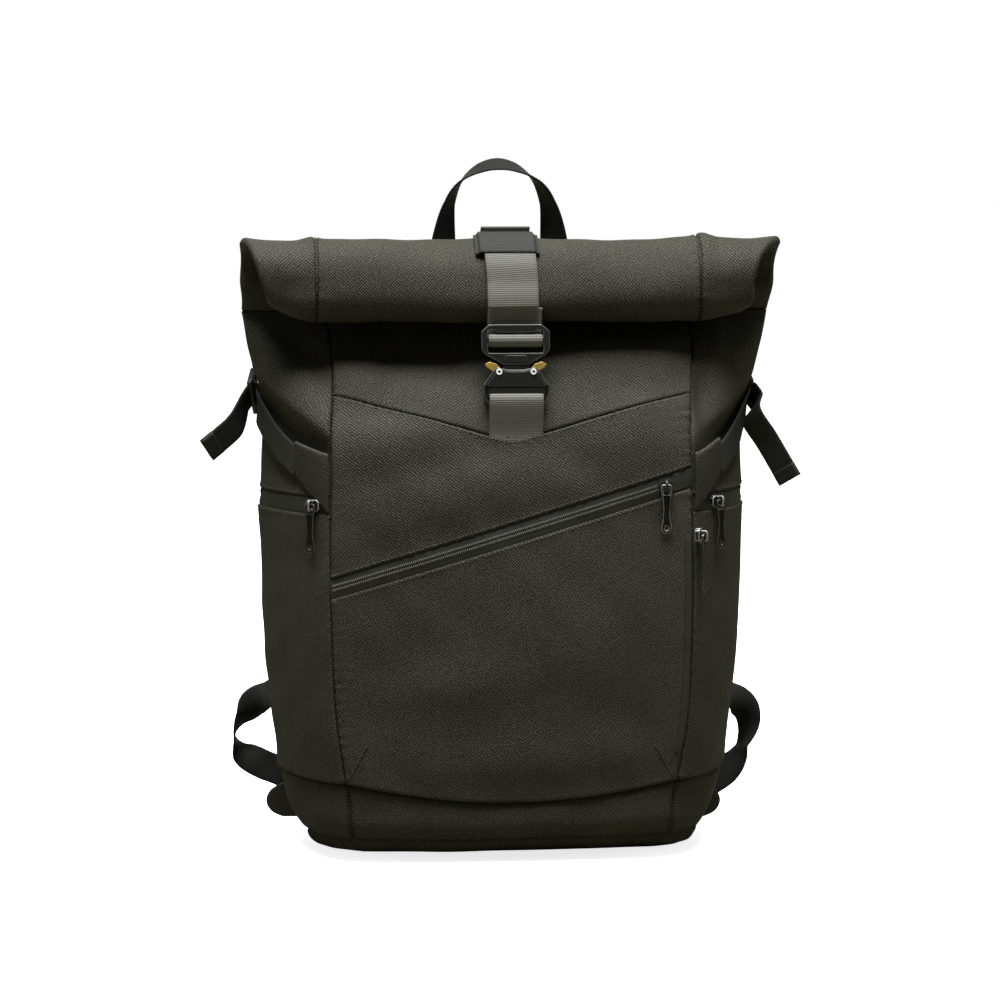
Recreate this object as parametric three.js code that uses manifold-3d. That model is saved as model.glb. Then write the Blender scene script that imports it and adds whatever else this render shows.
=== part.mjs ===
// A roll-top backpack standing on its base. Sewn panels make a hollow body, whose cloth collar
// is rolled forward and held down by a webbing strap with a metal buckle.
// Millimetres, +Z up. The front faces -Y, and the origin is the middle of the flat bottom.

import * as THREE from "three";
import { mergeVertices } from "three/addons/utils/BufferGeometryUtils.js";
import Module from "manifold-3d";

const wasm = await Module();
wasm.setup();

// Cloth and seams
const WALL = 2.2; // outer cloth with its backing
const PADDED_WALL = 8; // the back panel is padded
const SEAM_GAP = 0.5; // between the edges of two sewn panels
const FRONT_CROWN = 6; // how far the front's middle stands out past its side seams
const SIDE_SPLIT = 0.6; // share of a side's width in front of its widest line
const SIDE_FULLNESS = 0.6; // 0 is a straight side, 1 an elliptical one

// Heights of the seams
const FLOOR_TOP = 3;
const BASE_SEAM = { side: 58, front_middle: 44 };
const YOKE_SEAM = { middle: 299, edge: 329, round: 0.04 };
const FRONT_ZIP = { left: 196, right: 272, half_height: 8 };
const SIDE_ZIP = { middle: 254, half_height: 6.5 };
const COLLAR_SEAM = 386;

// Zipper tapes lie a little under the cloth
const TAPE = { thickness: 1.2, sunk: 0.6 };

// Webbing
const WEBBING = { thickness: 1.6, closing: 38, shoulder: 22, compression: 20, handle: 25 };

// Horizontal sections of the body, from the bottom to the collar seam
const BODY = table(
  ["z", "half_width", "side_y", "front_half", "front_y", "back_half", "back_y"],
  [
    [0, 126, 4, 98, -48, 112, 58],
    [3, 134, 4, 105, -56, 119, 63],
    [9, 141, 5, 110, -64, 125, 67],
    [26, 153, 6, 113, -74, 134, 70],
    [58, 161, 8, 117, -80, 142, 71],
    [105, 166.5, 10, 124, -83, 147, 71],
    [175, 172, 10, 127, -84, 150, 71],
    [255, 174, 10, 127, -80, 150, 70],
    [300, 173, 8, 126, -72, 148, 68],
    [345, 176, 8, 127, -47, 146, 58],
    [COLLAR_SEAM, 190, 16, 130, 1, 142, 31],
  ],
);

// The rolled collar: a flat tube wound forward around the roll's axis
const ROLL = {
  y: -26, z: 408, radius: 28.2, inner_radius: 20,
  half_thickness: 2.6, wall: 1.9, seam: 134, squareness: 6,
};
const ROLL_TURN = { start: 0, tight_from: 200, tight_by: 380, end: 528, step: 24 };
const ROLL_WIDTH = table(
  ["angle", "left", "right"],
  [
    [0, 188, 196],
    [60, 188, 196],
    [90, 187, 195],
    [115, 183.5, 190],
    [145, 179, 186],
    [178, 174.5, 181.5],
    [205, 168, 177],
    [240, 162, 172],
    [360, 160, 168],
    [540, 156, 164],
  ],
);

// The closing strap: sewn low on the back, it runs over the roll, and a keeper band holds it there
const CLOSING = { x: 3, off_back: 1.6, off_roll: 1.8, sewn_from: 352, sewn_to: 384, lift_y: 14, lift_z: 424 };
const OVER_ROLL = { from: 62, to: 180, steps: 5 };
const KEEPER = { width: 46, from: 94, to: 146, off: 4.4 };

// The buckle: its own plane leans back, u is to the right, v up and n out of the front
const BUCKLE = { y: -66.2, z: 352, lean: 7, frame_thickness: 4, body_thickness: 9, gap: 0.4 };
const FRAME_HALF = [[21.5, 27.4], [24, 24.9], [24, 6.6], [22, 4.4], [18.5, 4.2], [12.6, -1]];
const FRAME_WINDOW = { half_width: 19.6, low: 7, high: 23 };
const BAR = { low: 14.8, high: 18, thickness: 3 };
const TONGUE_HALF = [[8.6, 1], [8.6, -11], [8, -13]];
const TONGUE_THICKNESS = 2.6;
const SOCKET_HALF = [[7, -4], [13.6, -2.4], [17, -6.6], [22.6, -15], [22.6, -20.6], [19.6, -28.6]];
const SOCKET_SLOT = { half_width: 19.4, low: -24.4, high: -17.4 };
const SOCKET_POCKET = { low: -15.4, thickness: 3.8 };
const LEVER = [
  ...[[9.7, -10], [11.5, -12.4], [14, -10.4], [17.8, -6.2], [21.9, -1.7]],
  ...[[20.4, 0.1], [16, -0.9], [12, -2.6], [9.8, -4.4]],
];
const LEVER_THICKNESS = 3;
const RIVET = { u: 12, v: -6, shaft: 1.6, head: 2.5, head_height: 0.9 };

// The closing strap's way around the frame's bar, and the anchor strap's around the socket's
const FRAME_WRAP = table(
  ["v", "n"],
  [
    [38, -2.6],
    [29, -4.2],
    [24.4, -4.4],
    [21.6, -2.6],
    [20.6, 0.4],
    [18.8, 3],
    [16.4, 3.7],
    [14, 3],
    [11.8, 0.2],
    [11.4, -3.6],
    [16, -6.6],
    [24, -7],
    [34, -6.2],
  ],
);
const SOCKET_WRAP = table(
  ["v", "n"],
  [
    [-33, 4.4],
    [-28, 6.4],
    [-24.4, 6.2],
    [-21.8, 4],
    [-20.9, 0],
    [-21.8, -4],
    [-24.4, -6.2],
    [-28, -6.4],
    [-32, -4.8],
  ],
);
const ANCHOR_FRONT = table(["z", "off"], [[300, 4.6], [312, 5.6]]);
const ANCHOR_BACK = table(["z", "off"], [[315, 2.6], [302, 2]]);

// The zippers' sliders and pulls
const SLIDER = { width: 8, length: 11, thickness: 3.4 };
const BAIL = { inner_half: 2.6, inner_top: 7.2, outer_half: 4, outer_top: 8.6, foot: 2, corner: 1.2, width: 1.4 };
const PULL = { pivot: 5.6, length: 33, edge_length: 41, end_radius: 3.7, waist: 2.6, thickness: 1.4 };
const PULL_EYE = { half_width: 2.1, top: -0.75, bottom: -5.9, crown: 1.4 };
const PULL_HOLE = 1.7;

const CLOTH = { color: 0x2d2e2a, roughness: 0.9, metalness: 0 };
const WEB = { color: 0x33342f, roughness: 0.8, metalness: 0 };
const PLASTIC = { color: 0x141413, roughness: 0.5, metalness: 0 };
const BLACK_METAL = { color: 0x17181a, roughness: 0.4, metalness: 0.8 };
const GUNMETAL = { color: 0x3a3b3d, roughness: 0.3, metalness: 1 };
const GOLD = { color: 0xb48a3c, roughness: 0.3, metalness: 1 };
const SILVER = { color: 0xc9c9c6, roughness: 0.3, metalness: 1 };

const backpack = new THREE.Group();

// Tables and interpolation

function table(columns, rows) {
  return rows.map((row) => Object.fromEntries(columns.map((name, i) => [name, row[i]])));
}

// A smooth value of every column of a table at a place along its first column.
function at(rows, key, place) {
  const last = rows.length - 1;
  let i = 0;
  while (i < last - 1 && place > rows[i + 1][key]) i += 1;
  const [p, a, b, n] = [rows[Math.max(i - 1, 0)], rows[i], rows[i + 1], rows[Math.min(i + 2, last)]];
  const span = b[key] - a[key];
  const s = THREE.MathUtils.clamp((place - a[key]) / span, 0, 1);
  const result = {};
  for (const name of Object.keys(a)) {
    const slopeA = ((b[name] - p[name]) / (b[key] - p[key])) * span;
    const slopeB = ((n[name] - a[name]) / (n[key] - a[key])) * span;
    const rise = b[name] - a[name];
    const bend = (slopeA + slopeB - 2 * rise) * s + (3 * rise - 2 * slopeA - slopeB);
    result[name] = a[name] + s * (slopeA + s * bend);
  }
  return result;
}

const lerp = THREE.MathUtils.lerp;
const vec = (x, y, z) => new THREE.Vector3(x, y, z);

// The body's surface

// A quarter of a side between two corners, from straight (fullness 0) to elliptical (fullness 1).
function quarter(from, to, share, fullness, power) {
  const turn = (share * Math.PI) / 2;
  const round = [Math.sin(turn) ** (2 / power), 1 - Math.cos(turn) ** (2 / power)];
  return [0, 1].map((i) => lerp(from[i], to[i], lerp(share, round[i], fullness)));
}

// A point of a closed section: t runs 0-1 along the front, 1-2 the right side, 2-3 the back, 3-4 the left.
function ring(section, t, fullness = SIDE_FULLNESS, power = 2, crown = FRONT_CROWN) {
  const turn = ((t % 4) + 4) % 4;
  const seamY = section.front_y + crown;
  if (turn <= 1) {
    const x = lerp(-1, 1, turn);
    return [x * section.front_half, section.front_y + crown * x * x];
  }
  if (turn >= 2 && turn <= 3) return [lerp(1, -1, turn - 2) * section.back_half, section.back_y];
  const share = turn < 2 ? turn - 1 : 4 - turn;
  const front = [section.front_half, seamY];
  const widest = [section.half_width, section.side_y];
  const back = [section.back_half, section.back_y];
  const point =
    share < SIDE_SPLIT
      ? quarter(front, widest, share / SIDE_SPLIT, fullness, power)
      : quarter(back, widest, (1 - share) / (1 - SIDE_SPLIT), fullness, power);
  return [turn < 2 ? point[0] : -point[0], point[1]];
}

function bodyPoint(t, z) {
  const [x, y] = ring(at(BODY, "z", z), t);
  return vec(x, y, z);
}

function bodyNormal(t, z) {
  const [dt, dz] = [0.02, 1];
  const along = bodyPoint(t + dt, z).sub(bodyPoint(t - dt, z));
  const up = bodyPoint(t, z + dz).sub(bodyPoint(t, z - dz));
  return along.cross(up).normalize();
}

// A point standing off the body's surface, on the side named by its sign: -1 left, 1 right.
// back runs from 0 at the front seam to 1 at the back seam.
function sideSpot(side, back, z, off) {
  const t = side > 0 ? 1 + back : 4 - back;
  return bodyPoint(t, z).addScaledVector(bodyNormal(t, z), off);
}

// Building closed meshes

function meshFrom(points, triangles) {
  const geometry = new THREE.BufferGeometry();
  geometry.setAttribute("position", new THREE.Float32BufferAttribute(points.flatMap((p) => p.toArray()), 3));
  geometry.setIndex(triangles.flat());
  return geometry;
}

function add(name, geometry, look, parent = backpack) {
  const shown = geometry.index ? geometry.toNonIndexed() : geometry;
  shown.computeVertexNormals();
  const mesh = new THREE.Mesh(shown, new THREE.MeshStandardMaterial({ ...look, flatShading: true }));
  mesh.name = name;
  parent.add(mesh);
  return mesh;
}

// A closed wall between an outer and an inner grid of points, rows by columns.
function wallBetween(outer, inner) {
  const [rows, columns] = [outer.length, outer[0].length];
  const half = rows * columns;
  const spot = (layer, i, j) => layer * half + i * columns + j;
  const quads = [];
  for (let i = 0; i < rows - 1; i += 1) {
    for (let j = 0; j < columns - 1; j += 1) {
      quads.push([spot(0, i, j), spot(0, i, j + 1), spot(0, i + 1, j + 1), spot(0, i + 1, j)]);
      quads.push([spot(1, i, j), spot(1, i + 1, j), spot(1, i + 1, j + 1), spot(1, i, j + 1)]);
    }
  }
  for (let j = 0; j < columns - 1; j += 1) {
    quads.push([spot(0, 0, j), spot(1, 0, j), spot(1, 0, j + 1), spot(0, 0, j + 1)]);
    const top = rows - 1;
    quads.push([spot(0, top, j), spot(0, top, j + 1), spot(1, top, j + 1), spot(1, top, j)]);
  }
  for (let i = 0; i < rows - 1; i += 1) {
    quads.push([spot(0, i, 0), spot(0, i + 1, 0), spot(1, i + 1, 0), spot(1, i, 0)]);
    const end = columns - 1;
    quads.push([spot(0, i, end), spot(1, i, end), spot(1, i + 1, end), spot(0, i + 1, end)]);
  }
  const triangles = quads.flatMap(([a, b, c, d]) => [[a, b, c], [a, c, d]]);
  return meshFrom([...outer.flat(), ...inner.flat()], triangles);
}

// A closed body through a row of closed loops, each seen counterclockwise from the far end.
function loft(loops, capped = true) {
  const count = loops[0].length;
  const triangles = [];
  const rings = capped ? loops.length - 1 : loops.length;
  for (let i = 0; i < rings; i += 1) {
    const next = (i + 1) % loops.length;
    for (let j = 0; j < count; j += 1) {
      const k = (j + 1) % count;
      triangles.push([i * count + j, i * count + k, next * count + k]);
      triangles.push([i * count + j, next * count + k, next * count + j]);
    }
  }
  const points = loops.flat();
  if (capped) {
    for (const end of [0, loops.length - 1]) {
      const centre = points.length;
      points.push(loops[end].reduce((sum, p) => sum.add(p), vec(0, 0, 0)).divideScalar(count));
      for (let j = 0; j < count; j += 1) {
        const [a, b] = [end * count + j, end * count + ((j + 1) % count)];
        triangles.push(end === 0 ? [centre, b, a] : [centre, a, b]);
      }
    }
  }
  return meshFrom(points, triangles);
}

function solid(geometry) {
  const bare = geometry.index ? geometry.toNonIndexed() : geometry.clone();
  for (const name of Object.keys(bare.attributes)) {
    if (name !== "position") bare.deleteAttribute(name);
  }
  const merged = mergeVertices(bare, 1e-4);
  const mesh = { numProp: 3, vertProperties: merged.attributes.position.array };
  return new wasm.Manifold(new wasm.Mesh({ ...mesh, triVerts: new Uint32Array(merged.index.array) }));
}

function geometryOf(manifold) {
  const { numProp, vertProperties, triVerts } = manifold.getMesh();
  const geometry = new THREE.BufferGeometry();
  const bare = new THREE.InterleavedBuffer(vertProperties, numProp);
  const points = new THREE.InterleavedBufferAttribute(bare, 3, 0);
  geometry.setAttribute("position", new THREE.BufferAttribute(new Float32Array(points.count * 3), 3));
  for (let i = 0; i < points.count; i += 1) {
    geometry.attributes.position.setXYZ(i, points.getX(i), points.getY(i), points.getZ(i));
  }
  geometry.setIndex(new THREE.BufferAttribute(new Uint32Array(triVerts), 1));
  return geometry;
}

// A flat plate in a plane, from its outline and holes, between two distances out of that plane.
function plate(outline, low, high, holes = []) {
  const shape = new THREE.Shape(outline.map(([u, v]) => new THREE.Vector2(u, v)));
  shape.holes = holes.map((hole) => new THREE.Path(hole.map(([u, v]) => new THREE.Vector2(u, v))));
  const geometry = new THREE.ExtrudeGeometry(shape, { depth: high - low, bevelEnabled: false });
  return geometry.translate(0, 0, low);
}

const rectangle = (u0, v0, u1, v1) => [[u0, v0], [u1, v0], [u1, v1], [u0, v1]];

function circle(u, v, radius, sides = 16) {
  const turn = (i) => (2 * Math.PI * i) / sides;
  return Array.from({ length: sides }, (_, i) => [u + radius * Math.cos(turn(i)), v + radius * Math.sin(turn(i))]);
}

const mirrored = (outline) => outline.map(([u, v]) => [-u, v]).reverse();

// The outline of a symmetric plate from its right half, listed from the top down.
const bothSides = (half) => [...mirrored(half), ...half].reverse();

// A group whose own x, y and z are the given right and up directions and the way out of their plane.
function planeGroup(origin, right, up, parent = backpack) {
  const group = new THREE.Group();
  const out = right.clone().cross(up);
  group.applyMatrix4(new THREE.Matrix4().makeBasis(right, up, out).setPosition(origin));
  parent.add(group);
  return group;
}

// Webbing along a smooth path. Each stop has a place and the direction of the webbing's width.
function ribbon(stops, width, steps, thickness = WEBBING.thickness) {
  const path = new THREE.CatmullRomCurve3(stops.map((stop) => stop.place), false, "centripetal");
  const loops = [];
  for (let i = 0; i <= steps; i += 1) {
    const u = i / steps;
    const stretch = u * (stops.length - 1);
    const near = Math.min(Math.floor(stretch), stops.length - 2);
    const wide = stops[near].across.clone().lerp(stops[near + 1].across, stretch - near);
    const share = lerp(stops[near].share ?? 1, stops[near + 1].share ?? 1, stretch - near);
    const along = path.getTangent(u);
    wide.addScaledVector(along, -wide.dot(along)).setLength((share * width) / 2);
    const thick = along.clone().cross(wide).setLength(thickness / 2);
    const centre = path.getPoint(u);
    const corner = (a, b) => centre.clone().addScaledVector(wide, a).addScaledVector(thick, b);
    loops.push([corner(-1, -1), corner(1, -1), corner(1, 1), corner(-1, 1)]);
  }
  return loft(loops);
}

// Sewn panels of the body

function baseSeam(t) {
  const x = t <= 1 ? lerp(-1, 1, t) : 1;
  return lerp(BASE_SEAM.front_middle, BASE_SEAM.side, x * x);
}

function yokeSeam(t) {
  const x = lerp(-1, 1, t);
  const rounded = (v) => Math.sqrt(v * v + YOKE_SEAM.round ** 2);
  const rise = (rounded(x) - rounded(0)) / (rounded(1) - rounded(0));
  return lerp(YOKE_SEAM.middle, YOKE_SEAM.edge, rise);
}

const frontZip = (t) => lerp(FRONT_ZIP.left, FRONT_ZIP.right, t);

// A patch of the body's surface between two seams and two heights.
function panel({ from, to, low, high, columns, rows, wall = WALL, out = 0 }) {
  const grids = [out, out - wall].map((off) =>
    Array.from({ length: rows + 1 }, (_, i) =>
      Array.from({ length: columns + 1 }, (_, j) => {
        const t = lerp(from, to, j / columns);
        const z = lerp(low(t) + SEAM_GAP / 2, high(t) - SEAM_GAP / 2, i / rows);
        return bodyPoint(t, z).addScaledVector(bodyNormal(t, z), off);
      }),
    ),
  );
  return wallBetween(grids[0], grids[1]);
}

// The seams between front, sides and back keep their gap as a share of a panel's width.
const EDGE = { front: SEAM_GAP / 250, side: SEAM_GAP / 170, back: SEAM_GAP / 290 };
const FRONT = { from: EDGE.front, to: 1 - EDGE.front };
const SIDES = [
  { side: "right", from: 1 + EDGE.side, to: 2 - EDGE.side },
  { side: "left", from: 3 + EDGE.side, to: 4 - EDGE.side },
];
const BACK = { from: 2 + EDGE.back, to: 3 - EDGE.back };
const level = (z) => () => z;

function addPanels() {
  const zipEdge = (sign) => (t) => frontZip(t) + sign * FRONT_ZIP.half_height;
  const collar = level(COLLAR_SEAM);
  add("yoke_panel", panel({ ...FRONT, low: yokeSeam, high: collar, columns: 14, rows: 8 }), CLOTH);
  add("front_upper_panel", panel({ ...FRONT, low: zipEdge(1), high: yokeSeam, columns: 14, rows: 6 }), CLOTH);
  add("front_pocket_panel", panel({ ...FRONT, low: baseSeam, high: zipEdge(-1), columns: 12, rows: 9 }), CLOTH);
  const tape = { low: zipEdge(-1), high: zipEdge(1), wall: TAPE.thickness, out: -TAPE.sunk };
  add("front_zip_tape", panel({ ...FRONT, ...tape, columns: 12, rows: 1 }), WEB);
  const zipLow = level(SIDE_ZIP.middle - SIDE_ZIP.half_height);
  const zipHigh = level(SIDE_ZIP.middle + SIDE_ZIP.half_height);
  for (const { side, ...span } of SIDES) {
    add(`side_upper_${side}`, panel({ ...span, low: zipHigh, high: collar, columns: 10, rows: 9 }), CLOTH);
    add(`side_pocket_${side}`, panel({ ...span, low: baseSeam, high: zipLow, columns: 10, rows: 9 }), CLOTH);
    const sideTape = { low: zipLow, high: zipHigh, wall: TAPE.thickness, out: -TAPE.sunk };
    add(`side_zip_${side}_tape`, panel({ ...span, ...sideTape, columns: 10, rows: 1 }), WEB);
  }
  const back = { ...BACK, low: baseSeam, high: collar, wall: PADDED_WALL };
  add("back_panel", panel({ ...back, columns: 8, rows: 14 }), CLOTH);
}

// Places around a ring, from the shares of the front, the right side, the back and the left side.
const around = (parts) => parts.flatMap((shares, i) => shares.map((share) => i + share));
const evenly = (count) => Array.from({ length: count }, (_, j) => j / count);

// Shares of the base's height, closer together where its edge is round
const BASE_HEIGHTS = [0, 0.06, 0.16, 0.32, 0.55, 0.78, 1];

// The base is one bowl: a flat floor, rounded edges and walls up to the base seam.
function addBase() {
  const turns = around([evenly(12), evenly(8), evenly(6), evenly(8)]);
  const seam = (t) => baseSeam(t) - SEAM_GAP / 2;
  const outer = BASE_HEIGHTS.map((share) => turns.map((t) => bodyPoint(t, share * seam(t))));
  const inner = BASE_HEIGHTS
    .map((share) =>
      turns.map((t) => {
        const z = share * seam(t);
        const point = bodyPoint(t, z).addScaledVector(bodyNormal(t, Math.max(z, 1)), -WALL);
        return vec(point.x, point.y, lerp(FLOOR_TOP, seam(t), share));
      }),
    )
    .reverse();
  add("base", loft([...outer, ...inner]), CLOTH);
}

// The collar and its roll

function rollRadius(angle) {
  const share = THREE.MathUtils.smoothstep(angle, ROLL_TURN.tight_from, ROLL_TURN.tight_by);
  return lerp(ROLL.radius, ROLL.inner_radius, share);
}

// A ring of points of the flat tube at an angle around the roll; 0 is behind it, 90 on top, 180 in front.
function rollRing(angle, turns, inset) {
  const radius = rollRadius(angle);
  const turn = THREE.MathUtils.degToRad(angle);
  const half = ROLL.half_thickness - inset;
  const { left, right } = at(ROLL_WIDTH, "angle", angle);
  const section = (half_width) => ({
    half_width: half_width - inset,
    side_y: 0,
    front_half: ROLL.seam,
    front_y: -half,
    back_half: ROLL.seam,
    back_y: half,
  });
  return turns.map((t) => {
    const onRight = t > FRONT_MIDDLE && t < BACK_MIDDLE;
    const [x, out] = ring(section(onRight ? right : left), t, 1, ROLL.squareness, 0);
    const reach = radius + out;
    return vec(x, ROLL.y + reach * Math.cos(turn), ROLL.z + reach * Math.sin(turn));
  });
}

// The neck: the body's last section, drawn in towards the flat tube.
function neckRing(share, turns, inset) {
  const low = at(BODY, "z", COLLAR_SEAM);
  const roll = rollRing(ROLL_TURN.start, turns, inset);
  return turns.map((t, j) => {
    const section = { ...low, half_width: low.half_width - inset };
    section.front_y += inset;
    section.back_y -= inset;
    const [x, y] = ring(section, t);
    const start = vec(x, y, COLLAR_SEAM + SEAM_GAP / 2);
    const ease = Math.sin((share * Math.PI) / 2);
    return vec(lerp(start.x, roll[j].x, share), lerp(start.y, roll[j].y, ease), lerp(start.z, roll[j].z, share));
  });
}

// Shares of the neck's height, and of each end of the flat tube, closer together at its fold
const NECK_SHARES = [0, 0.35, 0.7];
const RIGHT_END = [0, 0.3, 0.5, 0.6, 0.7, 0.85];
const LEFT_END = [0, 0.15, 0.3, 0.4, 0.5, 0.7];

function addCollar() {
  const turns = around([evenly(4), RIGHT_END, evenly(4), LEFT_END]);
  const wall = (inset) => {
    const rings = NECK_SHARES.map((share) => neckRing(share, turns, inset));
    for (let angle = ROLL_TURN.start; angle <= ROLL_TURN.end; angle += ROLL_TURN.step) {
      rings.push(rollRing(angle, turns, inset));
    }
    return rings;
  };
  add("roll_collar", loft([...wall(0), ...wall(ROLL.wall).reverse()], false), CLOTH);
}

// Closing strap, buckle and anchor strap

const LEAN = THREE.MathUtils.degToRad(BUCKLE.lean);
const BUCKLE_UP = vec(0, Math.sin(LEAN), Math.cos(LEAN));
const BUCKLE_OUT = vec(0, -Math.cos(LEAN), Math.sin(LEAN));
const BUCKLE_PLACE = vec(CLOSING.x, BUCKLE.y, BUCKLE.z);
const ACROSS = vec(1, 0, 0);

function buckleStop({ v, n }) {
  return { place: BUCKLE_PLACE.clone().addScaledVector(BUCKLE_UP, v).addScaledVector(BUCKLE_OUT, n), across: ACROSS };
}

function rollStop(angle, off) {
  const reach = ROLL.radius + ROLL.half_thickness + off;
  const turn = THREE.MathUtils.degToRad(angle);
  const place = vec(CLOSING.x, ROLL.y + reach * Math.cos(turn), ROLL.z + reach * Math.sin(turn));
  return { place, across: ACROSS };
}

const FRONT_MIDDLE = 0.5;
const BACK_MIDDLE = 2.5;

function addStraps() {
  const behind = (z) => bodyPoint(BACK_MIDDLE, z).add(vec(CLOSING.x, CLOSING.off_back, 0));
  const closing = [0, 0.5, 1].map((share) => ({
    place: behind(lerp(CLOSING.sewn_from, CLOSING.sewn_to, share)),
    across: ACROSS,
  }));
  closing.push({ place: vec(CLOSING.x, CLOSING.lift_y, CLOSING.lift_z), across: ACROSS });
  for (let i = 0; i <= OVER_ROLL.steps; i += 1) {
    closing.push(rollStop(lerp(OVER_ROLL.from, OVER_ROLL.to, i / OVER_ROLL.steps), CLOSING.off_roll));
  }
  closing.push(...FRAME_WRAP.map(buckleStop));
  add("closing_strap", ribbon(closing, WEBBING.closing, 3 * (closing.length - 1)), WEB);

  const band = [0, 1 / 3, 2 / 3, 1].map((share) => rollStop(lerp(KEEPER.from, KEEPER.to, share), KEEPER.off));
  add("strap_keeper", ribbon(band, KEEPER.width, 6), CLOTH);

  const onYoke = ({ z, off }) => ({
    place: bodyPoint(FRONT_MIDDLE, z).add(vec(CLOSING.x, -off, 0)),
    across: ACROSS,
  });
  const anchor = [...ANCHOR_FRONT.map(onYoke), ...SOCKET_WRAP.map(buckleStop), ...ANCHOR_BACK.map(onYoke)];
  add("anchor_strap", ribbon(anchor, WEBBING.closing, 4 * (anchor.length - 1)), WEB);
}

// The frame that the strap runs through, with the tongue that goes into the socket.
function buckleFrame() {
  const half = BUCKLE.frame_thickness / 2;
  const { half_width: w, low, high } = FRAME_WINDOW;
  const windows = [rectangle(-w, BAR.high, w, high), rectangle(-w, low, w, BAR.low)];
  const frame = solid(plate(bothSides(FRAME_HALF), -half, half, windows));
  const tongue = solid(plate(bothSides(TONGUE_HALF), -TONGUE_THICKNESS / 2, TONGUE_THICKNESS / 2));
  const shave = half - BAR.thickness / 2;
  const overBar = rectangle(-w, (low + BAR.low) / 2, w, (high + BAR.high) / 2);
  const front = solid(plate(overBar, half - shave, half + shave));
  const rear = solid(plate(overBar, -half - shave, -half + shave));
  return geometryOf(frame.subtract(front).subtract(rear).add(tongue));
}

// The socket: two plates with a pocket between them for the tongue and the levers.
function buckleSocket() {
  const half = BUCKLE.body_thickness / 2;
  const { half_width: w, low, high } = SOCKET_SLOT;
  const body = solid(plate(bothSides(SOCKET_HALF), -half, half, [rectangle(-w, low, w, high)]));
  const depth = SOCKET_POCKET.thickness / 2;
  const reach = 2 * w;
  const pocket = solid(plate(rectangle(-reach, SOCKET_POCKET.low, reach, reach), -depth, depth));
  const bore = (u) => solid(plate(circle(u, RIVET.v, RIVET.shaft + BUCKLE.gap), -2 * half, 2 * half));
  return geometryOf(body.subtract(pocket).subtract(bore(RIVET.u)).subtract(bore(-RIVET.u)));
}

function rivet(u) {
  const reach = BUCKLE.body_thickness / 2 + BUCKLE.gap;
  const tip = reach + RIVET.head_height;
  const upper = [[RIVET.shaft, reach], [RIVET.head, reach], [0.8 * RIVET.head, tip], [0, tip]];
  const lower = upper.map(([r, h]) => [r, -h]).reverse();
  const pin = new THREE.LatheGeometry([...lower, ...upper].map(([r, h]) => new THREE.Vector2(r, h)), 16);
  return geometryOf(solid(pin.rotateX(Math.PI / 2).translate(u, RIVET.v, 0)));
}

function addBuckle() {
  const group = planeGroup(BUCKLE_PLACE, ACROSS, BUCKLE_UP);
  add("buckle_frame", buckleFrame(), BLACK_METAL, group);
  add("buckle_body", buckleSocket(), BLACK_METAL, group);
  for (const [name, sign] of [["right", 1], ["left", -1]]) {
    const outline = sign > 0 ? LEVER : mirrored(LEVER);
    const bore = circle(sign * RIVET.u, RIVET.v, RIVET.shaft + BUCKLE.gap);
    const lever = plate(outline, -LEVER_THICKNESS / 2, LEVER_THICKNESS / 2, [bore]);
    add(`buckle_lever_${name}`, lever, GOLD, group);
    add(`buckle_rivet_${name}`, rivet(sign * RIVET.u), SILVER, group);
  }
}

// Zipper sliders and the pulls that hang from them

// A slider's boat, turned to run along its tape, with the arch that holds the pull's eye.
function slider(turn) {
  const [w, l] = [SLIDER.width / 2, SLIDER.length / 2];
  const boat = plate(bothSides([[0.6 * w, l], [w, 0.7 * l], [w, -0.6 * l], [0.2 * w, -l]]), 0, SLIDER.thickness);
  boat.rotateZ(turn);
  const { inner_half: inner, inner_top: hollow, outer_half: outer, outer_top: top, foot, corner } = BAIL;
  const shoulder = [[outer - corner, top], [outer, top - corner]];
  const arch = bothSides([...shoulder, [outer, foot], [inner, foot], [inner, hollow]]);
  const bail = plate(arch, -BAIL.width / 2, BAIL.width / 2);
  bail.applyMatrix4(new THREE.Matrix4().makeBasis(vec(0, 1, 0), vec(0, 0, 1), vec(1, 0, 0)));
  return geometryOf(solid(boat).add(solid(bail)));
}

// A flat pull with an eye at the top, a slim waist and a round lower end with a hole.
function pull(length) {
  const r = PULL.end_radius;
  const low = r - length;
  const upper = [[r - 1, PULL_EYE.crown], [r, PULL_EYE.crown - 1], [r, PULL_EYE.bottom + 2]];
  const waist = [[PULL.waist, PULL_EYE.bottom - 3], [0.8 * PULL.waist, -length / 2], [PULL.waist, low + r + 2]];
  const end = [0.1, -0.4, -0.9, -1.3].map((turn) => [r * Math.cos(turn), low + r * Math.sin(turn)]);
  const { half_width: w, top, bottom } = PULL_EYE;
  const holes = [rectangle(-w, bottom, w, top), circle(0, low, PULL_HOLE, 10)];
  const half = PULL.thickness / 2;
  return plate(bothSides([...upper, ...waist, ...end]), PULL.pivot - half, PULL.pivot + half, holes);
}

// A slider and its pull, at a place on the cloth and facing a level direction out of it.
function addZipper(name, place, out, turn, length = PULL.length) {
  const up = vec(0, 0, 1);
  const group = planeGroup(place, up.clone().cross(out), up);
  add(`${name}_slider`, slider(turn), GUNMETAL, group);
  add(`${name}_pull`, pull(length), GUNMETAL, group);
}

const FRONT_SLIDER = { t: 0.925, off: 0.4 };
const SIDE_SLIDERS = [
  { name: "left", side: -1, back: 0.1 },
  { name: "right", side: 1, back: 0.17 },
];
const SIDE_SLIDER_OFF = 1.6;
const SIDE_FACING = THREE.MathUtils.degToRad(30);
const EDGE_SLIDER = { back: 0.01, z: 231, off: 3, facing: THREE.MathUtils.degToRad(64) };

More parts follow.
